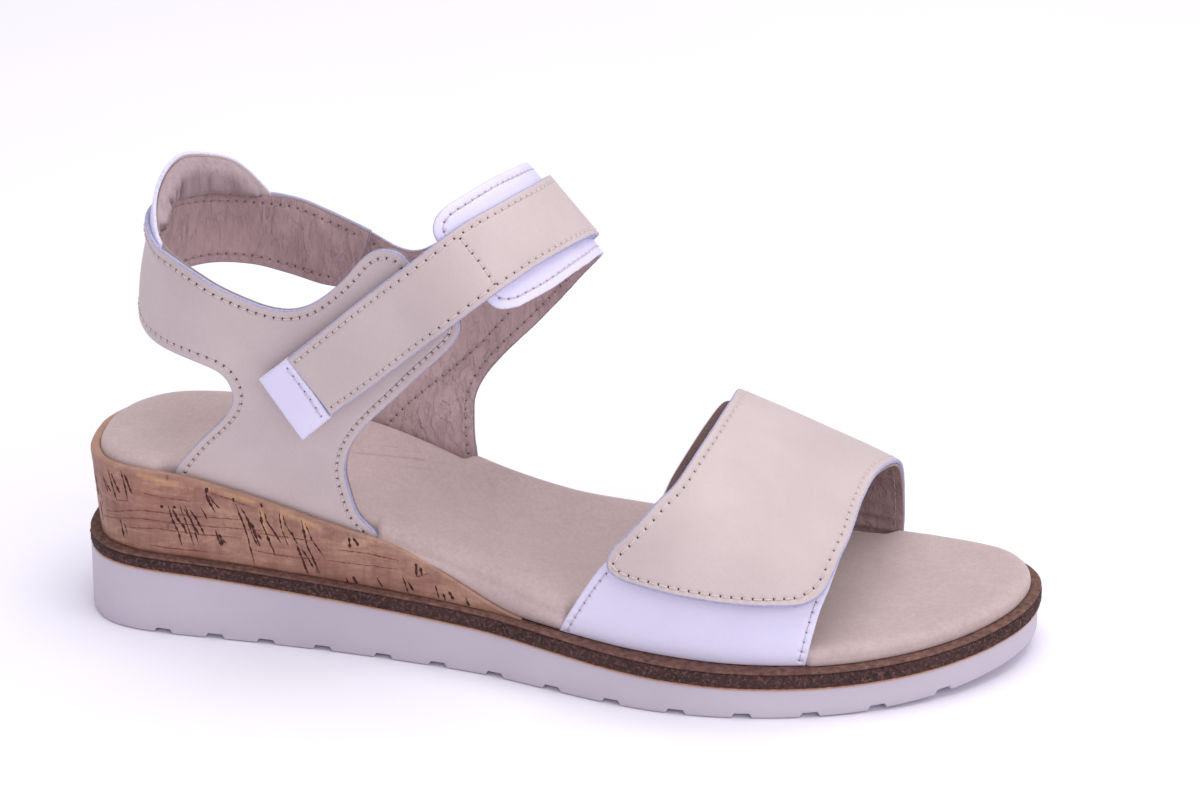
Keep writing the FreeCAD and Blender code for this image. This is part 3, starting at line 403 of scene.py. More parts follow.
def threads(name, jobs, mat, radius=0.15, lift=0.12):
    """Stitches: for each job (S, path, d, face) one short curved thread between each pair of needle pits."""
    verts, faces = [], []
    f = np.array([0.075, 0.14, 0.27, 0.5, 0.73, 0.86, 0.925])
    h = np.array([-0.42, -0.02, 0.8, 1.0, 0.8, -0.02, -0.42])
    h = np.where(h > 0, h * lift, h)
    rad = radius * np.array([0.8, 1.0, 1.05, 1.05, 1.05, 1.0, 0.8])
    K = 6
    ang = np.arange(K) * 2 * math.pi / K
    count = 0
    for S, path, d, face in jobs:
        s = arc_of(S, path)
        n = max(1, int(round(s[-1] / pitch_of(S))))
        ends = np.linspace(0, s[-1], n + 1)
        at = (ends[:-1, None] + (ends[1:] - ends[:-1])[:, None] * f[None])
        u, v = np.interp(at, s, path[:, 0]), np.interp(at, s, path[:, 1])
        jit = 1 + 0.25 * rng.standard_normal((n, 1)) * (h > 0)
        hh = h[None] * jit * (1 if face == "out" else -1)
        D = d(u, v) if callable(d) else d
        p = off(S, u, v, D + hh)
        nn = normal(S, u, v)
        t = unit(np.gradient(p, axis=1))
        b = unit(np.cross(t, nn))
        m = np.cross(b, t)
        ringp = p[:, :, None, :] + rad[None, :, None, None] * (np.cos(ang)[None, None, :, None] * b[:, :, None, :] + np.sin(ang)[None, None, :, None] * m[:, :, None, :])
        verts.append(ringp.reshape(-1, 3))
        L = len(f)
        for i in range(n):
            o = count + i * L * K
            for a in range(L - 1):
                for c in range(K):
                    c2 = (c + 1) % K
                    faces.append((o + a * K + c, o + a * K + c2, o + (a + 1) * K + c2, o + (a + 1) * K + c))
            faces.append(tuple(o + c for c in reversed(range(K))))
            faces.append(tuple(o + (L - 1) * K + c for c in range(K)))
        count += n * L * K
    return new_object(name, np.vstack(verts), faces, [mat])

def cap(poly, extra, z, flip=False, base=0):
    """Flat-in-plan cap inside poly with extra inner points; returns points and faces, the first len(poly) being the poly's."""
    allp = np.vstack([poly, extra]) if len(extra) else poly
    n = len(poly)
    vo, _, fo, orig, _, _ = delaunay_2d_cdt([Vector(p) for p in allp], [(i, (i + 1) % n) for i in range(n)], [], 1, 1e-5)
    xy = np.array([tuple(v) for v in vo])
    back = {}
    for i, o in enumerate(orig):
        for k in o:
            back[k] = i
    return xy, fo, [back[i] for i in range(n)]

def plan_grid(poly, pitch, margin):
    lo, hi = poly.min(0), poly.max(0)
    gx, gy = np.meshgrid(np.arange(lo[0], hi[0], pitch), np.arange(lo[1], hi[1], pitch * 0.866))
    gx = gx + (np.arange(gx.shape[0]) % 2)[:, None] * pitch / 2
    g = np.c_[gx.ravel(), gy.ravel()]
    g = g[inside(poly, g)]
    return g[dist_to(poly, g) > margin]

def turned(name, profile, mats, lo_grid=6.0, hi_grid=6.0, z_lo=None, z_hi=None, which=None, relief=None):
    """Closed solid of the sole: profile is a list of (inset, z function of x and y) from its bottom cap to its top cap."""
    rings, levels = [], []
    for ins, zf in profile:
        d = ins(PTS[:, 0], PTS[:, 1]) if callable(ins) else ins
        xy = PTS + INW * np.broadcast_to(np.asarray(d, float), (len(PTS),))[:, None]
        z = zf(xy[:, 0], xy[:, 1])
        rings.append(np.c_[xy, z])
    n = len(PTS)
    verts = np.vstack(rings)
    faces, fm = [], []
    for k in range(len(rings) - 1):
        for i in range(n):
            j = (i + 1) % n
            faces.append((k * n + i, k * n + j, (k + 1) * n + j, (k + 1) * n + i))
            fm.append(which[k] if which else 0)
    for idx, zf, pitch, flip in ((0, z_lo or profile[0][1], lo_grid, True), (len(rings) - 1, z_hi or profile[-1][1], hi_grid, False)):
        poly = rings[idx][:, :2]
        xy, fo, back = cap(poly, plan_grid(poly, pitch, pitch * 0.6), None)
        start = len(verts)
        own = {b: idx * n + i for i, b in enumerate(back)}
        z = zf(xy[:, 0], xy[:, 1])
        verts = np.vstack([verts, np.c_[xy, z]])
        for f in fo:
            g = [own.get(i, start + i) for i in f]
            faces.append(tuple(reversed(g)) if flip else tuple(g))
            fm.append((which[0] if flip else which[-1]) if which else 0)
    used = np.zeros(len(verts), bool)
    for f in faces:
        used[list(f)] = True
    remap = np.cumsum(used) - 1
    faces = [tuple(int(remap[i]) for i in f) for f in faces]
    return new_object(name, verts[used], faces, mats, fm)


# ---------------------------------------------------------------- materials
def rgb(r, g, b):
    f = lambda c: c / 12.92 if c <= 0.04045 else ((c + 0.055) / 1.055) ** 2.4
    return (f(r / 255), f(g / 255), f(b / 255), 1.0)

class Mat:
    def __init__(self, name, rough=0.55, **sockets):
        self.m = bpy.data.materials.new(name)
        self.m.use_nodes = True
        self.nt = self.m.node_tree
        self.b = self.nt.nodes["Principled BSDF"]
        self.b.inputs["Roughness"].default_value = rough
        for k, v in sockets.items():
            self.b.inputs[k.replace("_", " ")].default_value = v
        self.co = self.nt.nodes.new("ShaderNodeTexCoord").outputs["Object"]
    def link(self, a, b): self.nt.links.new(a, b)
    def put(self, sock, v):
        if hasattr(v, "is_linked") or hasattr(v, "links"):
            self.link(v, sock)
        else:
            sock.default_value = v
    def mapped(self, scale, rot=(0, 0, 0), co=None):
        n = self.nt.nodes.new("ShaderNodeMapping")
        n.inputs["Scale"].default_value = scale
        n.inputs["Rotation"].default_value = rot
        self.link(co or self.co, n.inputs["Vector"])
        return n.outputs["Vector"]
    def noise(self, scale, detail=3.0, rough=0.5, co=None, distortion=0.0, kind="FBM"):
        n = self.nt.nodes.new("ShaderNodeTexNoise")
        n.noise_type = kind
        n.inputs["Scale"].default_value = scale
        n.inputs["Detail"].default_value = detail
        n.inputs["Roughness"].default_value = rough
        n.inputs["Distortion"].default_value = distortion
        self.link(co or self.co, n.inputs["Vector"])
        return n.outputs["Fac"]
    def voronoi(self, scale, feature="F1", co=None, out="Distance", randomness=1.0):
        n = self.nt.nodes.new("ShaderNodeTexVoronoi")
        n.feature = feature
        n.inputs["Scale"].default_value = scale
        n.inputs["Randomness"].default_value = randomness
        self.link(co or self.co, n.inputs["Vector"])
        return n.outputs[out]
    def ramp(self, fac, stops, interp="LINEAR"):
        n = self.nt.nodes.new("ShaderNodeValToRGB")
        n.color_ramp.interpolation = interp
        while len(n.color_ramp.elements) < len(stops):
            n.color_ramp.elements.new(0.5)
        for e, (pos, c) in zip(n.color_ramp.elements, stops):
            e.position = pos
            e.color = c if len(c) == 4 else (c[0], c[0], c[0], 1)
        self.link(fac, n.inputs["Fac"])
        return n.outputs["Color"]
    def math(self, op, a, b=0.0, c=0.0):
        n = self.nt.nodes.new("ShaderNodeMath")
        n.operation = op
        for s, v in zip(n.inputs, (a, b, c)):
            self.put(s, v)
        return n.outputs["Value"]
    def mix(self, fac, a, b, mode="MIX"):
        n = self.nt.nodes.new("ShaderNodeMix")
        n.data_type = "RGBA"
        n.blend_type = mode
        self.put(n.inputs["Factor"], fac)
        self.put(n.inputs["A"] if False else n.inputs[6], a)
        self.put(n.inputs[7], b)
        return n.outputs[2]
    def xyz(self, co=None):
        n = self.nt.nodes.new("ShaderNodeSeparateXYZ")
        self.link(co or self.co, n.inputs[0])
        return n.outputs
    def attr(self, name):
        n = self.nt.nodes.new("ShaderNodeAttribute")
        n.attribute_name = name
        return n.outputs["Fac"]
    def color(self, c): self.link(c, self.b.inputs["Base Color"])
    def rough(self, r): self.link(r, self.b.inputs["Roughness"])
    def bump(self, *heights):
        """heights: (height, distance in mm, strength), laid over each other."""
        prev = None
        for h, dist, strength in heights:
            n = self.nt.nodes.new("ShaderNodeBump")
            n.inputs["Distance"].default_value = dist / 1000.0
            n.inputs["Strength"].default_value = strength
            self.link(h, n.inputs["Height"])
            if prev is not None:
                self.link(prev, n.inputs["Normal"])
            prev = n.outputs["Normal"]
        self.link(prev, self.b.inputs["Normal"])

W0, W1 = (0, 0, 0, 1), (1, 1, 1, 1)

def smooth_leather(name, c_lo, c_hi, rough, pore_and_shade, bump=1.0, **sockets):
    """Finished leather: soft mottling, fine pebbled grain with painted shade in its crevices, hair pores and a little
    uneven polish.
    """
    k = Mat(name, rough, **sockets)
    big = k.noise(38, 3, 0.5)
    col = k.mix(k.ramp(big, [(0.36, W0), (0.64, W1)]), c_lo, c_hi)
    fine = k.noise(900, 3, 0.6)
    col = k.mix(k.math("MULTIPLY", fine, 0.16), col, pore_and_shade, "MIX")
    grain = k.voronoi(1450, "DISTANCE_TO_EDGE")
    # painted shade: the grain's crevices are darkened, standing in for the shade in its valleys; the same tone also
    # colours the fine mottling
    crease_shade = k.ramp(grain, [(0.0, W1), (0.12, W0)])
    col = k.mix(k.math("MULTIPLY", crease_shade, 0.10), col, pore_and_shade)
    k.color(col)
    g2 = k.noise(420, 4, 0.62)
    k.bump((k.noise(70, 2, 0.5), 0.25, 0.25 * bump), (g2, 0.06, 0.35 * bump), (k.ramp(grain, [(0.0, W0), (0.22, W1)]), 0.035, 0.5 * bump))
    k.rough(k.math("MULTIPLY_ADD", g2, 0.22, rough - 0.11))
    return k.m

BEIGE = smooth_leather("beige_leather", rgb(197, 180, 181), rgb(205, 188, 189), 0.52, rgb(160, 138, 138), Sheen_Weight=0.06, Sheen_Roughness=0.5)
WHITE = smooth_leather("white_leather", rgb(221, 214, 241), rgb(227, 221, 245), 0.38, rgb(196, 187, 220), bump=0.55, Coat_Weight=0.12, Coat_Roughness=0.3)

def lining_leather(name, lo, hi, dark, wrinkle=1.0, use_crease_shade=False):
    """Soft unfinished lining: pull-up marks, long fine wrinkles darkened with painted shade, and open pores."""
    k = Mat(name, 0.72, Sheen_Weight=0.12, Sheen_Roughness=0.45)
    col = k.mix(k.ramp(k.noise(55, 4, 0.55), [(0.34, W0), (0.66, W1)]), lo, hi)
    def creased_by(scale, squash, rot, twist):
        n = k.noise(scale, 4, 0.6, k.mapped((1.0, 1.0, squash), rot), twist)
        return k.ramp(n, [(0.40, W1), (0.53, W0)])
    here = k.ramp(k.noise(70, 2, 0.5), [(0.34, W0), (0.62, W1)])
    w = k.math("MULTIPLY", creased_by(300, 0.26, (0.0, 0.35, 0.2), 1.4), here)
    w2 = creased_by(620, 0.35, (0.0, 0.5, 0.3), 1.0)
    # painted shade: the wrinkle lines w and w2 pull the colour towards dark, standing in for the shade inside the
    # wrinkles
    col = k.mix(k.math("MULTIPLY", w, 0.20), col, dark)
    col = k.mix(k.math("MULTIPLY", w2, 0.14), col, dark)
    pores = k.ramp(k.voronoi(900), [(0.0, W1), (0.22, W0)])
    col = k.mix(k.math("MULTIPLY", pores, 0.35), col, dark)
    col = k.mix(k.math("MULTIPLY", k.noise(2200, 2, 0.6), 0.18), col, hi)
    # crease_shade attribute: painted shade, darker colour in seams and pleats
    if use_crease_shade:
        col = k.mix(k.attr("crease_shade"), col, dark)
    k.color(col)
    k.bump((k.noise(150, 3, 0.5, k.mapped((1.0, 1.0, 0.4))), 0.5, 0.5 * wrinkle), (w, -0.34, 0.85 * wrinkle), (w2, -0.12, 0.7 * wrinkle), (k.noise(500, 3, 0.6), 0.06, 0.5), (pores, -0.04, 0.5))
    k.rough(k.math("MULTIPLY_ADD", w, -0.10, 0.78))
    return k.m

LINING = lining_leather("lining_leather", rgb(178, 150, 154), rgb(192, 165, 168), rgb(112, 82, 86))
# painted shade: a darker copy of the taupe lining, used for the fore strap's lining, which sits in shade
LINING_SHADED_FORE = lining_leather("fore_lining_leather_shaded", rgb(150, 122, 125), rgb(164, 137, 138), rgb(88, 60, 62), 1.2)
COLLAR = lining_leather("collar_leather", rgb(168, 146, 152), rgb(181, 159, 164), rgb(96, 70, 76), 0.7, True)

BROWN = lining_leather("brown_strip_leather", rgb(92, 64, 60), rgb(112, 82, 76), rgb(56, 34, 32))

def cut_edge(name, lo, hi):
    k = Mat(name, 0.9, Sheen_Weight=0.25, Sheen_Roughness=0.6)
    f = k.noise(1500, 4, 0.7)
    k.color(k.mix(k.ramp(f, [(0.3, W0), (0.7, W1)]), lo, hi))
    k.bump((f, 0.12, 0.7))
    return k.m
EDGE = cut_edge("cut_edge", rgb(138, 137, 176), rgb(180, 178, 210))
EDGE_W = cut_edge("white_cut_edge", rgb(196, 190, 218), rgb(228, 224, 242))
EDGE_L = cut_edge("lining_cut_edge", rgb(128, 104, 104), rgb(158, 134, 132))
FLESH = cut_edge("flesh_side", rgb(194, 176, 174), rgb(212, 196, 194))

def plain_fibre(name, lo, hi, rough=0.85, scale=1200, bump=0.08):
    k = Mat(name, rough)
    f = k.noise(scale, 3, 0.6)
    k.color(k.mix(k.ramp(f, [(0.3, W0), (0.7, W1)]), lo, hi))
    k.bump((f, bump, 0.6))
    return k.m
# needle pit materials: dark colour painted into the stitch holes, painted shade standing in for the depth of the hole
PIT_SHADE = plain_fibre("needle_hole_shade", rgb(34, 20, 22), rgb(64, 44, 46))
PIT_SHADE_L = plain_fibre("needle_hole_shade_lining", rgb(84, 62, 64), rgb(116, 92, 92))
PIT_SHADE_W = plain_fibre("needle_hole_shade_white", rgb(136, 122, 134), rgb(168, 156, 172))

def thread_mat(name, lo, hi):
    k = Mat(name, 0.6, Sheen_Weight=0.2)
    tw = k.noise(2600, 2, 0.5, k.mapped((1.0, 1.0, 1.0), (0.6, 0.4, 0.5)))
    k.color(k.mix(k.ramp(tw, [(0.35, W0), (0.65, W1)]), lo, hi))
    k.bump((tw, 0.05, 0.8))
    return k.m
THREAD = thread_mat("thread_beige", rgb(198, 182, 179), rgb(222, 208, 205))
THREAD_W = thread_mat("thread_on_white", rgb(188, 174, 180), rgb(214, 204, 212))
THREAD_L = thread_mat("thread_on_lining", rgb(158, 134, 134), rgb(184, 162, 160))

def footbed_mat():
    k = Mat("footbed_leather", 0.86, Sheen_Weight=0.35, Sheen_Roughness=0.4)
    col = k.mix(k.ramp(k.noise(34, 4, 0.6), [(0.32, W0), (0.68, W1)]), rgb(184, 161, 160), rgb(195, 174, 174))
    col = k.mix(k.ramp(k.noise(210, 4, 0.65), [(0.35, W0), (0.7, (0.30, 0.30, 0.30, 1))]), col, rgb(168, 143, 143))
    col = k.mix(k.ramp(k.noise(1400, 3, 0.7), [(0.35, W0), (0.75, (0.38, 0.38, 0.38, 1))]), col, rgb(208, 189, 188))
    nap = k.noise(780, 3, 0.7)
    col = k.mix(k.ramp(nap, [(0.40, W0), (0.66, (0.26, 0.26, 0.26, 1))]), col, rgb(162, 136, 135))
    pores = k.ramp(k.voronoi(330), [(0.0, W1), (0.11, W0)])
    some = k.ramp(k.noise(90, 2, 0.5), [(0.50, W0), (0.62, W1)])
    col = k.mix(k.math("MULTIPLY", k.math("MULTIPLY", pores, some), 0.5), col, rgb(134, 108, 106))
    # painted shade: the crease_shade attribute, taken from the depth of the crease dents, darkens the colour in the
    # creases
    col = k.mix(k.math("MULTIPLY", k.attr("crease_shade"), 0.5), col, rgb(120, 88, 86))
    k.color(col)
    k.bump((k.noise(95, 3, 0.55), 0.22, 0.3), (k.noise(650, 4, 0.7), 0.09, 0.6), (nap, 0.05, 0.5), (pores, -0.06, 0.4))
    return k.m
FOOTBED = footbed_mat()

def cork_mat():
    k = Mat("cork_veneer", 0.62, Coat_Weight=0.05, Coat_Roughness=0.4)
    n1 = k.noise(60, 4, 0.6, k.mapped((1, 1, 2.2)))
    col = k.ramp(n1, [(0.28, rgb(140, 96, 84)), (0.5, rgb(166, 122, 104)), (0.72, rgb(192, 150, 126))])
    block = k.ramp(k.voronoi(165, "F1", k.mapped((0.75, 0.75, 2.3), (0.0, 0.06, 0.0)), out="Color"), [(0.2, W0), (0.8, W1)])
    col = k.mix(k.math("MULTIPLY", block, 0.42), col, rgb(128, 82, 70))
    streak = k.ramp(k.noise(520, 3, 0.6, k.mapped((1.0, 1.0, 0.16), (0.0, 0.22, 0.0))), [(0.46, W0), (0.68, W1)])
    col = k.mix(k.math("MULTIPLY", streak, 0.36), col, rgb(108, 64, 54))
    vein = k.ramp(k.noise(300, 3, 0.6, k.mapped((0.18, 0.18, 1.5))), [(0.50, W0), (0.66, W1)])
    col = k.mix(k.math("MULTIPLY", vein, 0.30), col, rgb(206, 166, 138))
    fine = k.noise(700, 4, 0.7, k.mapped((1, 1, 1.6)))
    col = k.mix(k.ramp(fine, [(0.38, W0), (0.72, (0.45, 0.45, 0.45, 1))]), col, rgb(120, 78, 70))
    # broad pale and rusty clouds
    col = k.mix(k.ramp(k.noise(30, 3, 0.55, k.mapped((1, 1, 1.4))), [(0.5, W0), (0.68, (0.35, 0.35, 0.35, 1))]), col, rgb(150, 92, 78))
    # golden flares
    g = k.math("MULTIPLY", k.attr("gold"), k.ramp(k.noise(260, 3, 0.65, k.mapped((1.0, 1.0, 0.5))), [(0.38, W0), (0.56, W1)]))
    col = k.mix(k.math("MULTIPLY", g, 0.6), col, rgb(212, 166, 118))
    # small dark specks
    spot = k.ramp(k.voronoi(260, "F1", k.mapped((1.0, 1.0, 0.38))), [(0.08, W1), (0.17, W0)])
    sp = k.math("MULTIPLY", spot, k.ramp(k.noise(75, 2, 0.5), [(0.56, W0), (0.64, W1)]))
    col = k.mix(k.math("MULTIPLY", sp, 0.8), col, rgb(74, 38, 34))
    pores = k.ramp(k.voronoi(1300), [(0.0, W1), (0.16, W0)])
    col = k.mix(k.math("MULTIPLY", pores, 0.25), col, rgb(96, 58, 50))
    # painted highlight: the rolled top rim is painted paler, standing in for the light falling on it from above
    col = k.mix(k.math("MULTIPLY", k.attr("rim"), 0.30), col, rgb(192, 156, 138))
    k.color(col)
    k.bump((sp, -0.25, 0.6), (n1, 0.25, 0.3), (fine, 0.08, 0.5))
    k.rough(k.math("MULTIPLY_ADD", sp, 0.25, 0.6))
    return k.m
CORK = cork_mat()
CORK_DARK = plain_fibre("cork_crack", rgb(46, 18, 16), rgb(74, 36, 30), 0.9, 900, 0.1)
CORK_LINE = plain_fibre("cork_growth_line", rgb(104, 54, 46), rgb(132, 78, 66), 0.75, 900, 0.05)

def foam_mat():
    k = Mat("speckled_foam", 0.92)
    f = k.noise(1080, 3, 0.75)
    col = k.ramp(f, [(0.30, rgb(22, 9, 10)), (0.42, rgb(46, 25, 26)), (0.55, rgb(72, 44, 43)), (0.68, rgb(122, 86, 80))])
    col = k.mix(k.ramp(k.noise(45, 2, 0.5), [(0.4, W0), (0.65, (0.3, 0.3, 0.3, 1))]), col, rgb(84, 54, 50))
    k.color(col)
    k.bump((f, 0.6, 1.0), (k.voronoi(1100), 0.12, 0.5))
    return k.m
FOAM = foam_mat()
TAN = plain_fibre("tan_sheet", rgb(74, 44, 40), rgb(128, 90, 80), 0.8, 620, 0.14)
TAN_LOW = plain_fibre("tan_sheet_low", rgb(166, 116, 86), rgb(194, 144, 112), 0.7, 900, 0.06)
CORE = plain_fibre("wedge_core_foam", rgb(168, 140, 112), rgb(188, 160, 132))

def rubber_mat():
    k = Mat("outsole_rubber", 0.5)
    big = k.noise(22, 3, 0.55)
    col = k.mix(k.ramp(big, [(0.35, W0), (0.65, W1)]), rgb(190, 180, 193), rgb(198, 188, 201))
    sp = k.ramp(k.voronoi(160), [(0.0, W1), (0.035, W0)])
    col = k.mix(k.math("MULTIPLY", sp, 0.45), col, rgb(150, 138, 146))
    col = k.mix(k.math("MULTIPLY", k.noise(1500, 2, 0.6), 0.12), col, rgb(168, 158, 168))
    k.color(col)
    k.bump((k.noise(1800, 3, 0.6), 0.035, 0.5), (k.noise(60, 2, 0.5), 0.12, 0.2))
    k.rough(k.math("MULTIPLY_ADD", big, 0.2, 0.42))
    return k.m
RUBBER = rubber_mat()

def tape_mat(name, lo, hi):
    k = Mat(name, 0.95, Sheen_Weight=0.6, Sheen_Roughness=0.5)
    f = k.noise(1500, 3, 0.7)
    k.color(k.mix(k.ramp(f, [(0.3, W0), (0.7, W1)]), lo, hi))
    k.bump((k.voronoi(1700), 0.2, 0.9), (f, 0.1, 0.5))
    return k.m
LOOPS = tape_mat("loop_tape", rgb(196, 180, 170), rgb(222, 208, 198))
HOOKS = tape_mat("hook_tape", rgb(182, 166, 156), rgb(206, 192, 182))


def place_piece(ob, body, slot, *nodes):
    if body is not None:
        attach(ob, body)
    if nodes:
        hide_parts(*nodes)
    return ob

# ---------------------------------------------------------------- sole
def finer(n):
    global PTS, INW, ARC
    PTS, INW, per = platform_curve(n)
    ARC = np.arange(n) * per / n

finer(1520)
FLAT_END = 176.0
def z_ground(x, y): return np.where(x > FLAT_END, np.maximum(0.0, Z_BOT(x) - Z_BOT(FLAT_END)), 0.0)
notch = np.zeros(len(PTS))
per_ = ARC[-1] + ARC[1]
near_ = PTS + INW * OUTSOLE_SET_IN
for side in (-1, 1):
    for x, d in zip(np.arange(23.6, 246.0, 16.1), (1.1, -0.3, -2.5, -2.5, -1.8, -2.5, -2.5, -2.5, -1.8, -0.7, 0.5, 1.8, 2.2, 2.0)):
        x = x + d
        ok = near_[:, 1] * side > 0
        i = np.where(ok)[0][np.argmin(np.abs(near_[ok, 0] - x))]
        ds = np.abs((ARC - ARC[i] + per_ / 2) % per_ - per_ / 2)
        notch = np.maximum(notch, 1.15 * np.clip((2.7 - ds) / 0.7, 0, 1))
def zb(add, k): return lambda x, y: z_ground(x, y) + notch * k + add
def oi(k): return lambda x, y: OUTSOLE_SET_IN - 0.8 * (1 - smooth(2, 22, x)) + k
def z_mid(k): return lambda x, y: z_ground(x, y) * (1 - k) + Z_OUT(x) * k + 0.5 * (1 - k)
sole = turned("outsole_unit", [
    (7.0, lambda x, y: z_ground(x, y)), (6.2, zb(0, 0)), (5.9, zb(0.0, 1)), (oi(1.0), zb(0.0, 1)), (oi(0.35), zb(0.02, 1)), (oi(0.1), zb(0.16, 1)),
    (oi(0.0), zb(0.5, 1)), (oi(-0.02), z_mid(0.25)), (oi(0.0), z_mid(0.5)), (oi(0.03), z_mid(0.75)), (oi(0.0), lambda x, y: Z_OUT(x) - 1.0),
    (oi(0.04), lambda x, y: Z_OUT(x) - 0.35), (oi(0.2), lambda x, y: Z_OUT(x) - 0.08), (oi(0.6), lambda x, y: Z_OUT(x))], [RUBBER])
place_piece(sole, "shoe", "outsole_rubber", "outsole")

finer(760)
def sheet_layer(name, ins, lo, hi, mat, e=0.12):
    return turned(name, [(ins + 1.2, lo), (ins + e, lo), (ins, lambda x, y: lo(x, y) + e), (ins, lambda x, y: hi(x, y) - e),
                         (ins + e, lambda x, y: hi(x, y) - 0.02), (ins + 0.7, hi), (ins + 3.0, hi)], [mat], 12, 12)
G = 0.03
low = sheet_layer("platform_sheet_low", 0.25, lambda x, y: Z_OUT(x) + G, lambda x, y: Z_OUT(x) + SHEET_LOW_T, TAN_LOW, 0.1)
place_piece(low, "shoe", "tan_sheet", "platform_lower_sheet")
fz0, fz1 = (lambda x, y: Z_OUT(x) + SHEET_LOW_T + G), (lambda x, y: z_plat(x) - SHEET_TOP_T - G)
rough_ = lambda k: (lambda x, y: k + 0.10 * rng.standard_normal(len(x)) if len(x) == len(PTS) else k)
foam = turned("platform_foam_layer", [(1.2, fz0), (rough_(0.4), fz0), (rough_(0.12), lambda x, y: fz0(x, y) + 0.2), (rough_(0.05), lambda x, y: fz0(x, y) + 0.8),
    (rough_(0.03), lambda x, y: fz0(x, y) + 1.5), (rough_(0.03), lambda x, y: fz1(x, y) - 1.0), (rough_(0.12), lambda x, y: fz1(x, y) - 0.3), (rough_(0.3), fz1), (1.2, fz1)], [FOAM], 12, 12)
place_piece(foam, "shoe", "speckled_foam", "platform_foam")
top = sheet_layer("platform_sheet_top", 0.1, lambda x, y: z_plat(x) - SHEET_TOP_T, lambda x, y: z_plat(x), TAN, 0.3)
place_piece(top, "shoe", "tan_sheet", "platform_top_sheet")

# ---- cork wrap: a wall round the heel with a rolled rim
def cork_top(x, y): return Z_RIM(x) + 0.75 * rise(x, y) * (1 - smooth(96, 124, x))
def cork_in(x, k): return CORK_SET_IN + (1 - smooth(4, 28, x)) * (0.5 - 1.7 * k)
CORK_PTS, CORK_INW, CORK_PER = platform_curve(1500)
_i = int(np.argmin(CORK_PTS[:, 0] + 0.02 * np.abs(CORK_PTS[:, 1])))
CORK_S = ((np.arange(1500) - _i) * CORK_PER / 1500 + CORK_PER / 2) % CORK_PER - CORK_PER / 2
if CORK_PTS[(_i + 30) % 1500, 1] > 0:
    CORK_S = -CORK_S                                  # counted from the heel's back towards the outer side
# cracks, level lines and pale flares of the veneer: (millimetres round from the heel's back, height)
CRACKS = [[(28.6,44.5),(29.7,40.4),(31.1,36.1)],[(33.5,45.4),(34.5,41.5),(35.2,36.7)],[(31.9,30.5),(32.3,27.9),(32.7,25.4)],[(47.5,36.9),(48.7,32.8),(50.3,29.2),(51.0,25.8)],
    [(50.9,37.3),(52.9,31.2),(54.4,26.1)],[(52.3,37.4),(53.8,33.6),(55.9,26.5)],[(58.1,42.1),(59.0,39.3),(60.8,36.3)],[(60.6,31.1),(61.1,28.8),(62.0,26.7)],[(61.4,30.3),(62.4,26.8)],
    [(56.7,37.4),(58.5,34.1)],[(66.4,39.5),(68.7,32.8),(69.9,27.7),(71.1,22.0)],[(69.6,35.2),(70.6,31.2),(72.1,27.9)],[(73.0,38.4),(73.5,34.4),(75.0,30.6),(77.0,25.3)],
    [(78.3,38.4),(78.7,33.9),(80.7,28.8)],[(81.7,33.0),(82.4,30.8),(83.1,29.6)],[(84.3,36.8),(85.0,33.4),(86.0,28.9),(89.1,21.7)],[(83.0,29.1),(84.5,25.2),(85.8,21.2)],
    [(97.5,33.3),(97.7,30.3)],[(98.6,33.4),(100.2,31.2)],[(116.0,28.4),(116.3,24.6)],[(96.4,21.5),(96.9,20.1)],[(98.3,22.1),(99.5,20.1)],[(105.0,22.7),(106.6,20.0)],
    [(112.3,23.8),(113.9,19.4)],[(121.3,22.8),(122.3,19.5)],[(123.5,20.9),(124.3,18.6)],[(125.2,21.7),(126.4,19.5)],[(129.9,20.8),(130.9,18.5)],[(25.8,41.6),(27.6,37.5)],
    [(65.7,41.1),(65.9,39.9)],[(73.4,40.3),(73.7,39.1)],[(58.6,43.3),(58.2,41.5)],[(91.0,20.8),(91.7,19.6)],[(45.4,36.9),(45.8,36.1)],[(49.2,37.2),(49.4,36.3)]]
LEVELS = [[(24.7,31.1),(38.8,34.7),(47.7,34.8),(58.8,34.7),(68.2,35.0)],[(22,28.9),(38.8,32.3),(52,32.0),(64,32.2),(74,32.4)],[(33.7,28.8),(44.6,30.0),(55.9,29.4),(66.9,29.7)],
    [(41.4,24.9),(45.5,24.7),(51.2,24.6),(59.0,24.7)],[(72.5,31.5),(80.8,31.2),(89.1,31.0)],[(70.2,26.5),(77.9,25.7),(89.0,25.8)],[(91.2,25.8),(100.1,25.8),(111.2,25.9)],
    [(116.3,24.6),(119.6,26.0)],[(31.1,36.1),(35.2,36.7)],[(94.6,29.4),(102.9,29.3),(111.3,28.5)],[(39.0,40.0),(46.1,39.2),(54.0,38.8)],[(58.6,42.2),(65.1,40.5),(70.6,38.8)]]
FLARES = [[(73.0,38.2),(74.0,33.3),(75.3,30.3)],[(78.5,38.5),(79.2,33.6),(80.5,29.7)],[(58.6,43.3),(65.1,41.6),(71.7,40.3)],[(76.1,39.4),(82.6,37.2),(89.2,35.1)],
    [(84.8,36.6),(85.7,33.5)],[(39.3,45.2),(46.3,43.8),(54.2,42.6)]]
for _k in range(84):                                  # the heel's back and the inner side
    s0, h0 = rng.uniform(-128, 22), rng.uniform(0.2, 1.0)
    top0 = 44.0 - 0.19 * max(0.0, abs(s0) - 20)
    z0_ = 21.5 + h0 * max(2.0, top0 - 24.0)
    ln = rng.uniform(1.4, 8.0)
    CRACKS.append([(s0, z0_), (s0 + rng.uniform(-0.1, 0.5) * ln * 0.5, z0_ - ln * 0.5), (s0 + rng.uniform(0.0, 0.5) * ln, z0_ - ln)])
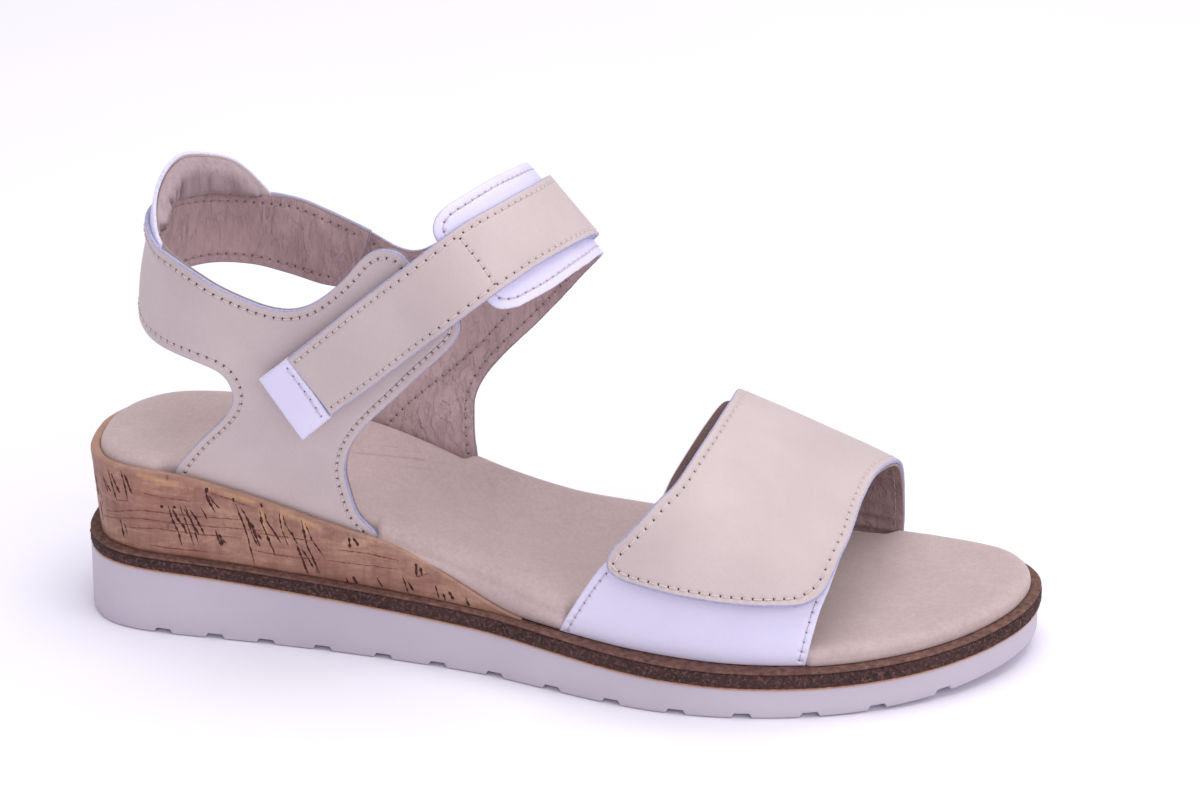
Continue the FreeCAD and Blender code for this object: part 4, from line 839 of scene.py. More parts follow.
for _c in CRACKS[:33]:                                # most of them run in pairs
    _l = _c[0][1] - _c[-1][1]
    if _l > 3.5:
        _d = 0.9 + 0.5 * ((_c[0][0] * 7.3) % 1)
        CRACKS.append([(s + _d + 0.12 * i, _c[0][1] - (_c[0][1] - z) * 0.62 - 0.9) for i, (s, z) in enumerate(_c)])
for _k in range(22):
    s0, z0_ = rng.uniform(-125, 12), rng.uniform(23.0, 40.0)
    LEVELS.append([(s0, z0_), (s0 + 8, z0_ + rng.uniform(-0.5, 0.5)), (s0 + rng.uniform(12, 26), z0_ + rng.uniform(-0.8, 0.8))])
for _k in range(8):
    s0, z0_ = rng.uniform(-110, 5), rng.uniform(28.0, 40.0)
    FLARES.append([(s0, z0_), (s0 + rng.uniform(-1, 8), z0_ - rng.uniform(2, 6))])

def cork_wrap():
    pts, inw = CORK_PTS, CORK_INW
    i0 = np.where(pts[:, 0] > 200)[0][0]
    order = np.roll(np.arange(len(pts)), -i0)
    sel = [i for i in order if pts[i, 0] <= 124.2]
    p, w, sv = pts[sel], inw[sel], CORK_S[sel]
    wob = fbm(np.c_[p, np.zeros(len(p))], 9.0, 2, 3.1)
    rings = []
    x = p[:, 0]
    outer = p + w * cork_in(x, 1.0)[:, None]
    zt = cork_top(outer[:, 0], outer[:, 1]) + 0.12 * wob
    z0 = z_plat(outer[:, 0]) + 0.1
    inner = CORK_SET_IN + CORK_T
    T = inner - cork_in(x, 1.0)
    R = np.minimum(0.45 * T, 1.2)
    z1 = np.maximum(zt - R, z0 + 0.05)
    for t in np.linspace(0, 1, 30):
        z = z0 + (z1 - z0) * t
        base_in = cork_in(x, t)
        q = np.c_[p + w * base_in[:, None], z]
        rings.append(np.c_[p + w * (base_in - 0.13 * fbm(q, (5, 5, 12), 3, 1.7))[:, None], z])
    for a in np.linspace(0, math.pi, 12)[1:]:
        ins = cork_in(x, 1.0) + T / 2 * (1 - math.cos(a))
        rings.append(np.c_[p + w * ins[:, None], z1 + (zt - z1) * math.sin(a) ** 0.8])
    rings.append(np.c_[p + w * inner, z0])
    L, n = len(rings), len(p)
    verts = np.vstack(rings)
    faces = [(k * n + i, k * n + i + 1, ((k + 1) % L) * n + i + 1, ((k + 1) % L) * n + i) for k in range(L) for i in range(n - 1)]
    faces += [tuple(k * n for k in range(L)), tuple(k * n + n - 1 for k in reversed(range(L)))]
    ob = new_object("cork_wrap_veneer", verts, faces, [CORK])
    sz = np.c_[np.tile(sv, L), verts[:, 2]]
    gold = np.zeros(len(verts))
    for line in FLARES:
        line = np.array(line, float)
        d = dist_to(line, sz * (1.0, 1.0), False)
        mid = line.mean(0)
        gold = np.maximum(gold, np.clip(1 - d / 1.15, 0, 1))
    a = ob.data.attributes.new("gold", "FLOAT", "POINT")
    a.data.foreach_set("value", gold.astype(np.float32))
    # rim: mask of the rolled top rim's rings, which carry the painted highlight
    rim = np.clip((np.repeat(np.arange(L), n) - 27) / 4.0, 0, 1)
    a = ob.data.attributes.new("rim", "FLOAT", "POINT")
    a.data.foreach_set("value", rim.astype(np.float32))
    return ob

def cork_ribbons(name, lines, width, mat, lift, ragged=0.35):
    """Thin slivers let into the veneer along lines given as (arc, height)."""
    tree = BVHTree.FromPolygons([tuple(v.co) for v in cork.data.vertices], [tuple(f.vertices) for f in cork.data.polygons])
    o = np.argsort(CORK_S)
    verts, faces = [], []
    for j, line in enumerate(lines):
        line = np.array(line, float)
        L = np.r_[0, np.cumsum(np.hypot(*(line[1:] - line[:-1]).T))]
        n = max(6, int(L[-1] / 0.3))
        at = np.linspace(0, L[-1], n)
        s_, z_ = np.interp(at, L, line[:, 0]), np.interp(at, L, line[:, 1])
        lev = np.abs(line[-1, 0] - line[0, 0]) > np.abs(line[-1, 1] - line[0, 1])
        jit = 0.16 * fbm(np.c_[s_, z_, np.full(n, j * 3.7)], 2.2, 2, 1.0)
        s_, z_ = (s_, z_ + jit) if lev else (s_ + jit, z_)
        px = np.c_[np.interp(s_, CORK_S[o], CORK_PTS[o, 0]), np.interp(s_, CORK_S[o], CORK_PTS[o, 1])]
        nx = np.c_[np.interp(s_, CORK_S[o], CORK_INW[o, 0]), np.interp(s_, CORK_S[o], CORK_INW[o, 1])]
        zt = cork_top(px[:, 0], px[:, 1])
        if (z_ > zt - 0.9).all() or px[:, 0].max() > 123.2:
            continue
        keep = (z_ < zt - 0.9) & (z_ > z_plat(px[:, 0]) + 0.2)
        if keep.sum() < 4:
            continue
        s_, z_, px, nx = s_[keep], z_[keep], px[keep], nx[keep]
        n = len(s_)
        P = np.c_[px + nx * CORK_SET_IN, z_]
        hit = [tree.find_nearest(Vector(M(q))) for q in P]
        P = np.array([tuple(h[0]) for h in hit]) * 1000
        N = np.array([tuple(h[1]) for h in hit])
        N = N * np.where((N[:, :2] * nx).sum(1) > 0, -1.0, 1.0)[:, None]
        Tn = unit(np.gradient(P, axis=0))
        B = unit(np.cross(N, Tn))
        f = np.linspace(0, 1, n)
        w = width(j, L[-1]) * np.minimum(1, 0.3 + 4.5 * np.minimum(f, 1 - f)) * np.clip(0.8 + ragged * fbm(P, 1.0, 2, j * 1.3), 0.25, 1.6)
        lo = sum(len(v) for v in verts)
        side = B * w[:, None] / 2
        verts += [P + N * lift - side, P + N * (lift + 0.01), P + N * lift + side, P - N * 0.25 + side, P - N * 0.25 - side]
        for c in range(5):
            d = (c + 1) % 5
            faces += [(lo + c * n + i, lo + c * n + i + 1, lo + d * n + i + 1, lo + d * n + i) for i in range(n - 1)]
        faces += [tuple(lo + c * n for c in range(5)), tuple(lo + c * n + n - 1 for c in reversed(range(5)))]
    return new_object(name, np.vstack(verts) + ORIGIN, faces, [mat])
cork = cork_wrap()
place_piece(cork, "shoe", "cork_veneer", "cork_wrap")
_w = rng.uniform(0.36, 0.74, 200)
place_piece(cork_ribbons("cork_cracks", CRACKS, lambda j, L: 0.8 if L < 3.0 else _w[j], CORK_DARK, 0.035, 1.0), "shoe", "cork_veneer")
place_piece(cork_ribbons("cork_level_lines", LEVELS, lambda j, L: 0.32, CORK_LINE, 0.02, 1.0), "shoe", "cork_veneer")
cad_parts["wedge_core"].data.materials.clear()
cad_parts["wedge_core"].data.materials.append(CORE)

# ---- padded footbed
CREASES = [([(67, 3.2), (77, 5.0), (88, 7.0), (100, 8.4)], 0.16), ([(74, 7.2), (84, 9.0), (95, 10.6)], 0.11), ([(80, 3.0), (88, 4.6), (94, 5.4)], 0.08)]
def footbed():
    fb = PTS + INW * (footbed_inset(PTS[:, 0], PTS[:, 1]) - 0.1 - 0.85 * np.where(PTS[:, 1] < 0, smooth(196, 204, PTS[:, 0]), smooth(208, 217, PTS[:, 0])))[:, None]
    n = len(fb)
    prof = [(0.8, None, 0.0), (0.12, None, 0.02), (0.0, None, 0.3)]
    def edge_drop(e, side):
        k = np.clip(e / (4.4 + 2.6 * side), 0, 1)
        return (3.1 + 1.1 * side) * (1 - np.sqrt(np.maximum(0, 1 - (1 - k) ** 2.2)))
    def top_z(x, y, e):
        side = smooth(70, 96, x) * (1 - smooth(150, 165, x)) * (np.asarray(y) < 0)
        room = np.minimum(1.0, (Z_FB(x) - z_plat(x)) / 5.0)
        base = Z_FB(x) + rise(x, y) + pad_rise(x, y) - edge_drop(e, side) * room
        q = np.c_[x, y, np.zeros(len(x))]
        soft = 0.30 * fbm(q, 26.0, 2, 5.0) + 0.10 * fbm(q, 7.0, 2, 9.0)
        cup = -0.8 * np.exp(-(((x - 30) / 26) ** 2 + (y / 17) ** 2)) - 0.6 * np.exp(-(((x - 180) / 30) ** 2 + ((y + 6) / 26) ** 2))
        return base + (soft + cup) * smooth(0, 5, e)
    low_z = lambda x, y: np.where(x > 150, z_plat(x) + 0.12, core_top(x, y) + 0.12)
    rings = []
    lows = low_z(fb[:, 0], fb[:, 1])
    es = [0.0, 0.12, 0.35, 0.7, 1.15, 1.7, 2.4, 3.2, 4.2, 5.4, 6.8]
    lat = smooth(72, 88, fb[:, 0]) * (1 - smooth(176, 196, fb[:, 0]))
    out_side = np.where(fb[:, 1] < 0, 1.0, 0.45)
    skirt = np.where(fb[:, 0] < 124.6, np.minimum(lows, cork_top(fb[:, 0], fb[:, 1]) - 0.6), z_plat(fb[:, 0]) + 0.12)
    lows = lows * (1 - lat) + np.minimum(lows, skirt) * lat
    q = fb + INW * 1.0
    rings.append(np.c_[q, np.minimum(low_z(q[:, 0], q[:, 1]), np.where(lat > 0, lows, 1e9))])
    rings.append(np.c_[fb + INW * 0.15, lows])
    z_side = top_z(fb[:, 0], fb[:, 1], np.zeros(n))
    for f in (0.08, 0.2, 0.35, 0.5, 0.65, 0.8, 0.92):
        rings.append(np.c_[fb - INW * ((0.12 + 0.8 * lat * out_side) * math.sin(math.pi * f) + 0.15 * lat)[:, None], lows + f * (z_side - lows)])
    for e in es:
        q = fb + INW * e
        rings.append(np.c_[q, top_z(q[:, 0], q[:, 1], np.full(n, e))])
    L = len(rings)
    verts = np.vstack(rings)
    faces = [(k * n + i, k * n + (i + 1) % n, (k + 1) * n + (i + 1) % n, (k + 1) * n + i) for k in range(L - 1) for i in range(n)]
    poly = rings[-1][:, :2]
    g = plan_grid(poly, 1.9, 1.0)
    extra, tag = [], []
    for c, depth in CREASES:
        c = np.array(c, float)
        s = np.r_[0, np.cumsum(np.hypot(*(c[1:] - c[:-1]).T))]
        at = np.linspace(0, s[-1], int(s[-1] / 0.7))
        line = np.c_[Spline(s, c[:, 0])(at), Spline(s, c[:, 1])(at)]
        g = g[dist_to(line, g, False) > 0.9]
        extra.append(line)
        extra += [line + (0, 0.5), line - (0, 0.5)]
        tag += [np.full(len(line), depth), np.zeros(2 * len(line))]
    allg = np.vstack([g] + extra)
    xy, fo, back = cap(poly, allg, None)
    e = dist_to(fb, xy)
    z = top_z(xy[:, 0], xy[:, 1], e)
    cr = np.zeros(len(xy))
    for c, depth in CREASES:
        c = np.array(c, float)
        s = np.r_[0, np.cumsum(np.hypot(*(c[1:] - c[:-1]).T))]
        at = np.linspace(0, s[-1], int(s[-1] / 0.7))
        line = np.c_[Spline(s, c[:, 0])(at), Spline(s, c[:, 1])(at)]
        fade = np.maximum(0, 1 - dist_to(line, xy, False) / 0.45)
        ends = np.minimum(1, np.minimum(np.hypot(*(xy - line[0]).T), np.hypot(*(xy - line[-1]).T)) / 5)
        cr = np.maximum(cr, depth * fade * ends)
    z = z - cr
    start = len(verts)
    own = {b: (L - 1) * n + i for i, b in enumerate(back)}
    verts = np.vstack([verts, np.c_[xy, z]])
    # crease_shade: crease depth, which drives the painted shade in the footbed creases
    attr = np.r_[np.zeros(start), cr / 0.3]
    faces += [tuple(own.get(i, start + i) for i in f) for f in fo]
    poly0 = rings[0][:, :2]
    xy, fo, back = cap(poly0, plan_grid(poly0, 7, 4), None)
    start = len(verts)
    own = {b: i for i, b in enumerate(back)}
    verts = np.vstack([verts, np.c_[xy, low_z(xy[:, 0], xy[:, 1])]])
    attr = np.r_[attr, np.zeros(len(xy))]
    faces += [tuple(own.get(i, start + i) for i in reversed(f)) for f in fo]
    used = np.zeros(len(verts), bool)
    for f in faces:
        used[list(f)] = True
    remap = np.cumsum(used) - 1
    ob = new_object("footbed_pad", verts[used], [tuple(int(remap[i]) for i in f) for f in faces], [FOOTBED])
    a = ob.data.attributes.new("crease_shade", "FLOAT", "POINT")
    a.data.foreach_set("value", attr[used].astype(np.float32))
    return ob
pad = footbed()
place_piece(pad, "shoe", "footbed_leather", "footbed_cover", "footbed_foam", "insole_board")

# ---------------------------------------------------------------- upper
T_LIN, T_OUT = (0.0, 0.8), (0.9, 2.1)
RIM_LINE = [(-44.1, 41.4), (-55.4, 39.4), (-66.8, 36.9), (-78.2, 34.5), (-86.0, 32.9)]
QUARTER_FRONT = [(-94.2, 32.6), (-89.7, 37.8), (-85.6, 44.9), (-83.2, 50.9), (-82.3, 55.6), (-82.3, 59.4), (-84.0, 65.2), (-87.7, 70.9),
                 (-92.5, 76.8), (-97.9, 83.0), (-103.2, 88.7), (-105.7, 91.8), (-107.3, 95.4), (-107.0, 98.6), (-105.6, 100.6)]
QUARTER_TOP = [(-90.0, 113.8), (-87.6, 115.6), (-85.0, 116.1), (-82.2, 115.8), (-79.4, 114.2), (-76.5, 110.4), (-74.5, 107.1),
               (-72.4, 104.3), (-69.0, 100.6), (-66.7, 98.7), (-62.9, 96.9), (-58.9, 96.4), (-53.4, 97.1), (-47.7, 98.8),
               (-41.9, 100.9), (-36.3, 103.2), (-29.7, 105.0), (-20.3, 106.6), (-13.2, 108.2), (-5.0, 109.8), (5.0, 110.3),
               (15.0, 110.0), (25.0, 108.6), (33.0, 107.4), (39.3, 106.5), (44.3, 106.2), (53.1, 103.7), (62.1, 100.2)]
BAND_END = [(68.3, 97.6), (68.1, 95.4), (66.4, 88.9), (63.8, 85.0)]
BAND_LOW = [(61.0, 81.4), (55.4, 82.1), (49.9, 83.6), (44.3, 85.0), (38.8, 86.2), (33.3, 87.0), (27.7, 87.6), (20.0, 87.8), (10.0, 86.8),
            (0.0, 85.2), (-10.4, 83.2), (-17.2, 81.9), (-25.1, 80.8), (-32.1, 80.1), (-37.8, 79.0), (-43.7, 76.4), (-46.3, 73.0),
            (-47.3, 68.8), (-45.7, 63.4), (-41.5, 56.2), (-38.8, 50.7), (-37.1, 46.2)]
quarter = Outline(ring, [[(-36.8, 43.2)] + RIM_LINE, [(-93.6, 31.6)] + QUARTER_FRONT, QUARTER_TOP, BAND_END, BAND_LOW])
top_edge = np.array(QUARTER_TOP)

def below_edge(u, v):
    """Depth in mm below the heel band's top edge."""
    return np.interp(u, top_edge[6:, 0], top_edge[6:, 1]) - v
def lap(u, v):
    """How far the band's top edge is lifted where it laps over the heel tab."""
    return 1.15 * (1 - smooth(0.5, 7.0, below_edge(u, v))) * smooth(-27, -20, u) * (1 - smooth(39, 46, u))

def soft(amp, size, seed, octaves=2):
    return lambda u, v, p: amp * fbm(p, size, octaves, seed)
q_rows = [quarter.path(1, 2, 2.4, (2.5, 2.0)), quarter.path(4, 4, 2.4, (2.0, 2.5))]
MATS = [BEIGE, EDGE, FLESH, PIT_SHADE]
MATS_W = [WHITE, EDGE_W, FLESH, PIT_SHADE_W]
MATS_L = [FLESH, EDGE_L, LINING, PIT_SHADE_L]
ob = leather("quarter_leather", quarter, lambda u, v: T_OUT[0] + lap(u, v), lambda u, v: T_OUT[1] + lap(u, v), MATS, q_rows, relief=soft(0.12, 24, 1.0), hole=1.4)
place_piece(ob, "shoe", "beige_leather", "quarter_outer")
ob = threads("quarter_stitching", [(ring, r, lambda u, v: T_OUT[1] + lap(u, v) - 0.06, "out") for r in q_rows], THREAD)
place_piece(ob, "shoe", "beige_leather")

def band_wrinkles(u, v, p):
    w = smooth(48, 60, u) * 1.0 + 0.45 * smooth(22, 40, u)
    sl = 0.34 * np.sin((u + 0.55 * (v - 90)) / 1.55 + 2.0 * fbm(p, 9, 1, 2.0)) * w * np.clip(fbm(p, 12, 1, 7.0) + 0.35, 0, 1)
    return sl + 0.26 * fbm(p, (14, 14, 30), 2, 4.0)
l_rows = [quarter.path(2, 2, 2.5, (44.0, 3.0)), quarter.path(4, 4, 2.4, (3.0, 60.0))]
ob = leather("quarter_lining_leather", quarter, T_LIN[0], lambda u, v: T_LIN[1] + 0 * u, MATS_L, l_rows, face="in", relief_in=band_wrinkles)
place_piece(ob, "shoe", "taupe_lining", "quarter_lining")
ob = threads("quarter_lining_stitching", [(ring, r, T_LIN[0] + 0.06, "in") for r in l_rows], THREAD_L)
place_piece(ob, "shoe", "beige_leather")

# ---- heel tab, tucked under the band
TAB_LOW = [(39.3, 101.6), (33.0, 102.4), (25.0, 103.6), (15.0, 105.0), (5.0, 105.3), (-5.0, 104.8), (-13.2, 103.2)]
TAB_TOP = [(-20.4, 103.4), (-19.6, 107.2), (-16.6, 108.4), (-13.4, 110.4), (-8.4, 114.0), (-4.5, 117.0), (-1.0, 119.6), (3.7, 121.8), (8.7, 122.7),
           (13.9, 122.0), (21.8, 119.9), (28.5, 117.0), (31.8, 114.4), (35.6, 110.6), (39.0, 106.8)]
tab = Outline(ring, [TAB_LOW, [TAB_TOP[0]], TAB_TOP[1:-1], [TAB_TOP[-1]]])
def tab_high(u, v):
    return 0.9 + np.clip(lap(u, v) - 0.08, 0.12, 1.1) + 0 * u
ob = leather("heel_tab_leather", tab, 0.9, tab_high, MATS_W, (), relief=soft(0.08, 18, 2.0))
place_piece(ob, "shoe", "white_leather", "heel_tab")

# ---- padded collar
COLLAR_RUNS = [[(37.0, 106.2), (30.7, 107.2), (24.9, 108.4), (15.0, 109.8), (5.0, 110.2), (-5.0, 109.7)],
               [(-15.4, 107.8), (-9.4, 112.6), (-4.9, 115.9), (-1.0, 118.6), (3.9, 120.9), (8.7, 121.8), (13.9, 121.2), (21.7, 119.2), (28.2, 116.3), (31.8, 113.4), (34.8, 110.1)]]
def collar():
    ol = Outline(ring, COLLAR_RUNS, 0.8)
    edge = ol.poly
    lo, hi = edge.min(0), edge.max(0)
    gx, gy = np.meshgrid(np.arange(lo[0], hi[0], 0.8), np.arange(lo[1], hi[1], 0.7))
    g = np.c_[gx.ravel(), gy.ravel()]
    g = g[inside(edge, g)]
    g = g[dist_to(edge, g) > 0.35]
    n = len(edge)
    vo, _, fo, orig, _, _ = delaunay_2d_cdt([Vector(p) for p in np.vstack([edge, g])], [(i, (i + 1) % n) for i in range(n)], [], 1, 1e-5)
    uv = np.array([tuple(v) for v in vo])
    e = dist_to(edge, uv)
    u, v = uv.T
    seam = np.interp(u, [-5, 5, 15, 24.9, 30.7, 37], [109.7, 110.2, 109.8, 108.4, 107.2, 106.2])
    top = np.interp(u, [-15.4, -9.4, -4.9, -1, 3.9, 8.7, 13.9, 21.7, 28.2, 31.8, 34.8], [107.8, 112.6, 115.9, 118.6, 120.9, 121.8, 121.2, 119.2, 116.3, 113.4, 110.1])
    puff = 3.7 * np.sqrt(1 - (1 - np.clip(e / 3.6, 0, 1)) ** 2)
    p = ring(u, v)
    h = np.clip((v - seam) / np.maximum(top - seam, 1), 0, 1)
    pleat = 0.0
    for c, w, dpt in ((-3.2, 1.0, 0.95), (1.2, 0.8, 0.55), (5.6, 1.3, 0.8), (11.5, 1.2, 0.3), (19.0, 1.5, 0.35), (27.0, 1.6, 0.3)):
        line = c + (0.5 - h) * 1.6 + 0.4 * np.sin(h * 6)
        pleat = pleat + 1.5 * dpt * np.exp(-((u - line) / w) ** 2) * (1 - smooth(0.45, 0.95, h))
    pull = 0.25 * np.sin(u * 1.9 + 2 * fbm(p, 6, 1, 1.0)) * (1 - smooth(0.0, 0.45, h))
    din = -(puff - (pleat + pull * 0.6) * np.clip(e / 1.0, 0, 1)) + 0.12 * fbm(p, 8, 2, 3.0) * np.clip(e, 0, 1)
    dout = np.full(len(u), 0.75)
    dmid = np.minimum(din, -0.05)
    P1 = off(ring, u, v, dmid)
    P0 = off(ring, u, v, dout)
    N = len(uv)
    back = {}
    for i, o in enumerate(orig):
        for k in o:
            back[k] = i
    faces = [tuple(f) for f in fo] + [tuple(i + N for i in reversed(f)) for f in fo]
    for i in range(n):
        a, b = back[i], back[(i + 1) % n]
        faces.append((b, a, a + N, b + N))
    ob = new_object("collar_pad", np.vstack([P0, P1]), faces, [COLLAR])
    # painted shade: a painted shadow along the bottom seam under the collar's roll, and darker colour in the pleats,
    # stored as the crease_shade attribute
    roll_shadow = 1 - smooth(0.2, 1.0, v - seam)
    c = np.clip(np.maximum(0.75 * roll_shadow, 0.62 * np.clip(pleat / 1.0 - 0.25, 0, 1)), 0, 1)
    a = ob.data.attributes.new("crease_shade", "FLOAT", "POINT")
    a.data.foreach_set("value", np.r_[c * 0, c].astype(np.float32))
    return ob
ob = collar()
if np.dot(np.array(ob.data.polygons[0].normal), normal(ring, 10.0, 115.0)) < 0:
    ob.data.flip_normals()
place_piece(ob, "shoe", "collar_leather", "collar_foam", "collar_lining")

# ---- inner quarter, instep patch
M_LIN, M_OUT, R_LIN, S_LIN, S_OUT = (2.3, 2.9), (3.0, 3.95), (4.05, 5.1), (4.4, 5.1), (5.2, 6.3)
def crest_in(q): return 2.0 * (1 - smooth(16, 34, np.abs(q)))
def drawn(d): return lambda q, n: d - crest_in(q)
def tuck(d):
    def f(q, n):
        p = loop(q, n)
        return d - M_LIN[0] * (1 - smooth(6, 30, p[..., 2] - Z_FB(p[..., 0]))) * smooth(30, 45, q) - crest_in(q)
    return f
STRAP_LOW = np.array([(-97.0, 5.5), (-84.4, 5.6), (-74.2, 5.5), (-59.2, 5.8), (-45.3, 6.0), (-35.0, 5.8), (-29.8, 5.25), (-25.2, 4.4), (-19.9, 3.3)])
def flare(q, n):
    """How far the free strap's lower edge stands off."""
    h = n - np.interp(q, STRAP_LOW[:, 0], STRAP_LOW[:, 1])
    return 1.35 * (1 - np.clip(h / 19.0, 0, 1)) * smooth(-22, -42, q) - crest_in(q)
def lifted(d): return lambda q, n: d + flare(q, n)
INNER_FRONT = [(88.8, -39.2), (84.5, -35.7), (82.1, -31.7), (77.9, -25.1), (75.6, -22.2), (73.4, -20.7), (69.5, -19.2), (65.0, -18.4), (57.9, -17.9),
               (50.8, -17.5), (42.8, -16.3), (33.4, -14.3), (24.5, -12.6)]
PATCH_LOW = [(12.0, -10.4), (5.0, -9.0), (-4.2, -7.3), (-11.3, -5.6), (-18.1, -4.2), (-23.6, -2.7)]
PATCH_END = [(-28.5, -1.2), (-31.4, 0.8), (-32.8, 2.6), (-33.2, 4.6), (-33.3, 14.0), (-33.2, 25.1), (-32.0, 28.0), (-28.8, 29.8)]
PATCH_TOP = [(-23.1, 29.4), (-11.0, 26.6), (-3.7, 24.3), (5.0, 22.2)]
INNER_TOP = [(24.5, 19.2), (35.0, 18.0), (50.0, 16.7), (60.0, 16.2), (65.5, 17.6), (68.9, 21.4), (71.2, 27.6), (73.8, 33.4), (76.6, 36.8)]
INNER_REAR = [(80.4, 37.0), (84.4, 33.4), (86.4, 28.0), (87.6, 22.6), (92.5, 17.0), (101.0, 12.4), (111.0, 9.2), (120.0, 6.8), (125.4, 5.4)]
INNER_FOOT = [(126.9, 3.6), (114.1, -7.8), (104.1, -16.2), (96.3, -25.6)]
SEAM = 24.5
iq = Outline(loop, [INNER_FOOT, INNER_FRONT + PATCH_LOW, PATCH_END, PATCH_TOP + INNER_TOP, INNER_REAR])
def iq_wrinkles(q, n, p):
    return 0.13 * fbm(p, (10, 10, 10), 3, 5.0) + 0.10 * np.sin((q * 0.75 + n * 0.65) / 1.3 + 1.5 * fbm(p, 8, 1, 8.0)) * np.clip(fbm(p, 14, 1, 11.0) + 0.2, 0, 1)
diag = resample(loop, np.array([(56.5, -10.8), (66.2, -12.1), (73.9, -12.4), (84.2, -12.3), (91.4, -12.6), (98.7, -13.7), (106.0, -14.9)]), 0.5)
iq_rows = [iq.path(1, 3, 2.5, (4.0, 2.0)), diag]
ob = leather("inner_quarter_lining_leather", iq, tuck(M_LIN[0]), tuck(M_LIN[1]), MATS_L, iq_rows, face="in", relief_in=iq_wrinkles, grid=1.7)
place_piece(ob, "shoe", "taupe_lining", "inner_quarter_lining")
ob = threads("inner_quarter_lining_stitching", [(loop, r, (lambda f: lambda q, n: f(q, n) + 0.06)(tuck(M_LIN[0])), "in") for r in iq_rows], THREAD_L)
place_piece(ob, "shoe", "beige_leather")
iqo = Outline(loop, [INNER_FOOT, INNER_FRONT[:-1], [(SEAM, -12.6)], INNER_TOP, INNER_REAR])
o_rows = [iqo.path(1, 1, 2.5, (4.0, 3.0)), iqo.path(3, 4, 2.5, (3.0, 6.0)), diag]
ob = leather("inner_quarter_leather", iqo, tuck(M_OUT[0]), tuck(M_OUT[1]), MATS, o_rows, relief=soft(0.12, 22, 6.0), grid=1.7)
place_piece(ob, "shoe", "beige_leather", "inner_quarter_outer")
ob = threads("inner_quarter_stitching", [(loop, r, (lambda f: lambda q, n: f(q, n) - 0.06)(tuck(M_OUT[1])), "out") for r in o_rows], THREAD)
place_piece(ob, "shoe", "beige_leather")
patch = Outline(loop, [[(SEAM - 0.2, -12.5)] + PATCH_LOW, PATCH_END, PATCH_TOP, [(SEAM - 0.2, 19.2)]])
p_rows = [patch.path(0, 2, 2.3, (2.0, 2.0))]
ob = leather("instep_patch_leather", patch, drawn(M_OUT[0]), drawn(M_OUT[1] + 0.1), MATS_W, p_rows, relief=soft(0.08, 20, 8.0), r=0.35)
place_piece(ob, "shoe", "white_leather", "instep_patch")
ob = threads("instep_patch_stitching", [(loop, p_rows[0], drawn(M_OUT[1] + 0.04), "out")], THREAD_W)
place_piece(ob, "shoe", "white_leather")

# ---- ankle strap: one leather and one lining across the hinge line
HINGE_Q = -29.8
UP = [(38.0, 12.4), (28.0, 12.8), (18.0, 13.8), (8.0, 15.3), (-4.9, 17.9), (-11.8, 20.0), (-18.0, 21.7), (-24.0, 23.4), (-29.8, 24.45),
      (-35.0, 24.8), (-43.0, 25.0), (-56.5, 24.9), (-71.5, 24.5)]
LOW = [(-84.4, 5.6), (-74.2, 5.5), (-59.2, 5.8), (-45.3, 6.0), (-35.0, 5.8), (-29.8, 5.25), (-25.2, 4.4), (-19.9, 3.3), (-14.2, 1.7), (-7.7, -0.3),
       (-2.9, -1.9), (8.0, -4.9), (18.0, -6.8), (28.0, -7.8)]
strap = Outline(loop, [UP, [(-84.6, 24.2)], LOW, [(38.0, -8.2)]], 1.0)
cross_row = resample(loop, np.array([(-29.4, 21.6), (-29.6, 14.5), (-30.1, 7.4)]), 0.5)
s_rows = [strap.path(0, 0, 1.9, (3.0, 1.2)), strap.path(2, 2, 1.7, (1.2, 3.0))]
def tangent(S, a, b):
    """Points either side of a hinge line, a on the fixed side and b on the swinging side, in metres."""
    return tuple(M(S(*a))), tuple(M(S(*b)))
A0, A1 = tangent(loop, (HINGE_Q + 3.2, 15.0), (HINGE_Q - 3.2, 15.0))
def blended(ob, slot, body, a, b, *nodes):
    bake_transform(ob)
    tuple(a)
    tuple(b)
    if nodes:
        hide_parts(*nodes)
    return ob
ob = leather("ankle_strap_leather", strap, lifted(S_OUT[0]), lifted(S_OUT[1]), MATS, s_rows + [cross_row], relief=soft(0.10, 20, 12.0), grid=1.4)
blended(ob, "beige_leather", "ankle_flap", A0, A1, "ankle_strap_root", "ankle_strap_outer")
ob = threads("ankle_strap_stitching", [(loop, r, lifted(S_OUT[1] - 0.06), "out") for r in s_rows + [cross_row]], THREAD)
blended(ob, "beige_leather", "ankle_flap", A0, A1)
strap_low = lambda q, n: S_LIN[0] - (S_LIN[0] - R_LIN[0]) * smooth(-32, -24, q) + flare(q, n)
ob = leather("ankle_strap_lining_leather", strap, strap_low, lifted(S_LIN[1]), [FLESH, EDGE, LINING, PIT_SHADE], s_rows, face="in", relief_in=None, pits=False, grid=1.6)
blended(ob, "taupe_lining", "ankle_flap", A0, A1, "ankle_strap_root_lining", "ankle_strap_lining")

tip = Outline(loop, [[(-84.2, 24.3)], [(-94.9, 24.2)], [(-95.2, 18.0), (-95.5, 11.3)], [(-95.7, 5.1)], [(-84.9, 5.3)]], 0.8)
tip_row = resample(loop, np.array([(-86.0, 22.2), (-86.8, 7.1)]), 0.5)
ob = leather("ankle_strap_tip_leather", tip, lifted(S_LIN[0]), lifted(S_OUT[1] + 0.12), [WHITE, EDGE_W, WHITE, PIT_SHADE_W], [tip_row], relief=soft(0.06, 14, 14.0), r=0.55, grid=1.2)
place_piece(ob, "ankle_flap", "white_leather", "ankle_strap_tip")
ob = threads("ankle_strap_tip_stitching", [(loop, tip_row, lifted(S_OUT[1] + 0.08), "out")], THREAD_W)
place_piece(ob, "ankle_flap", "white_leather")

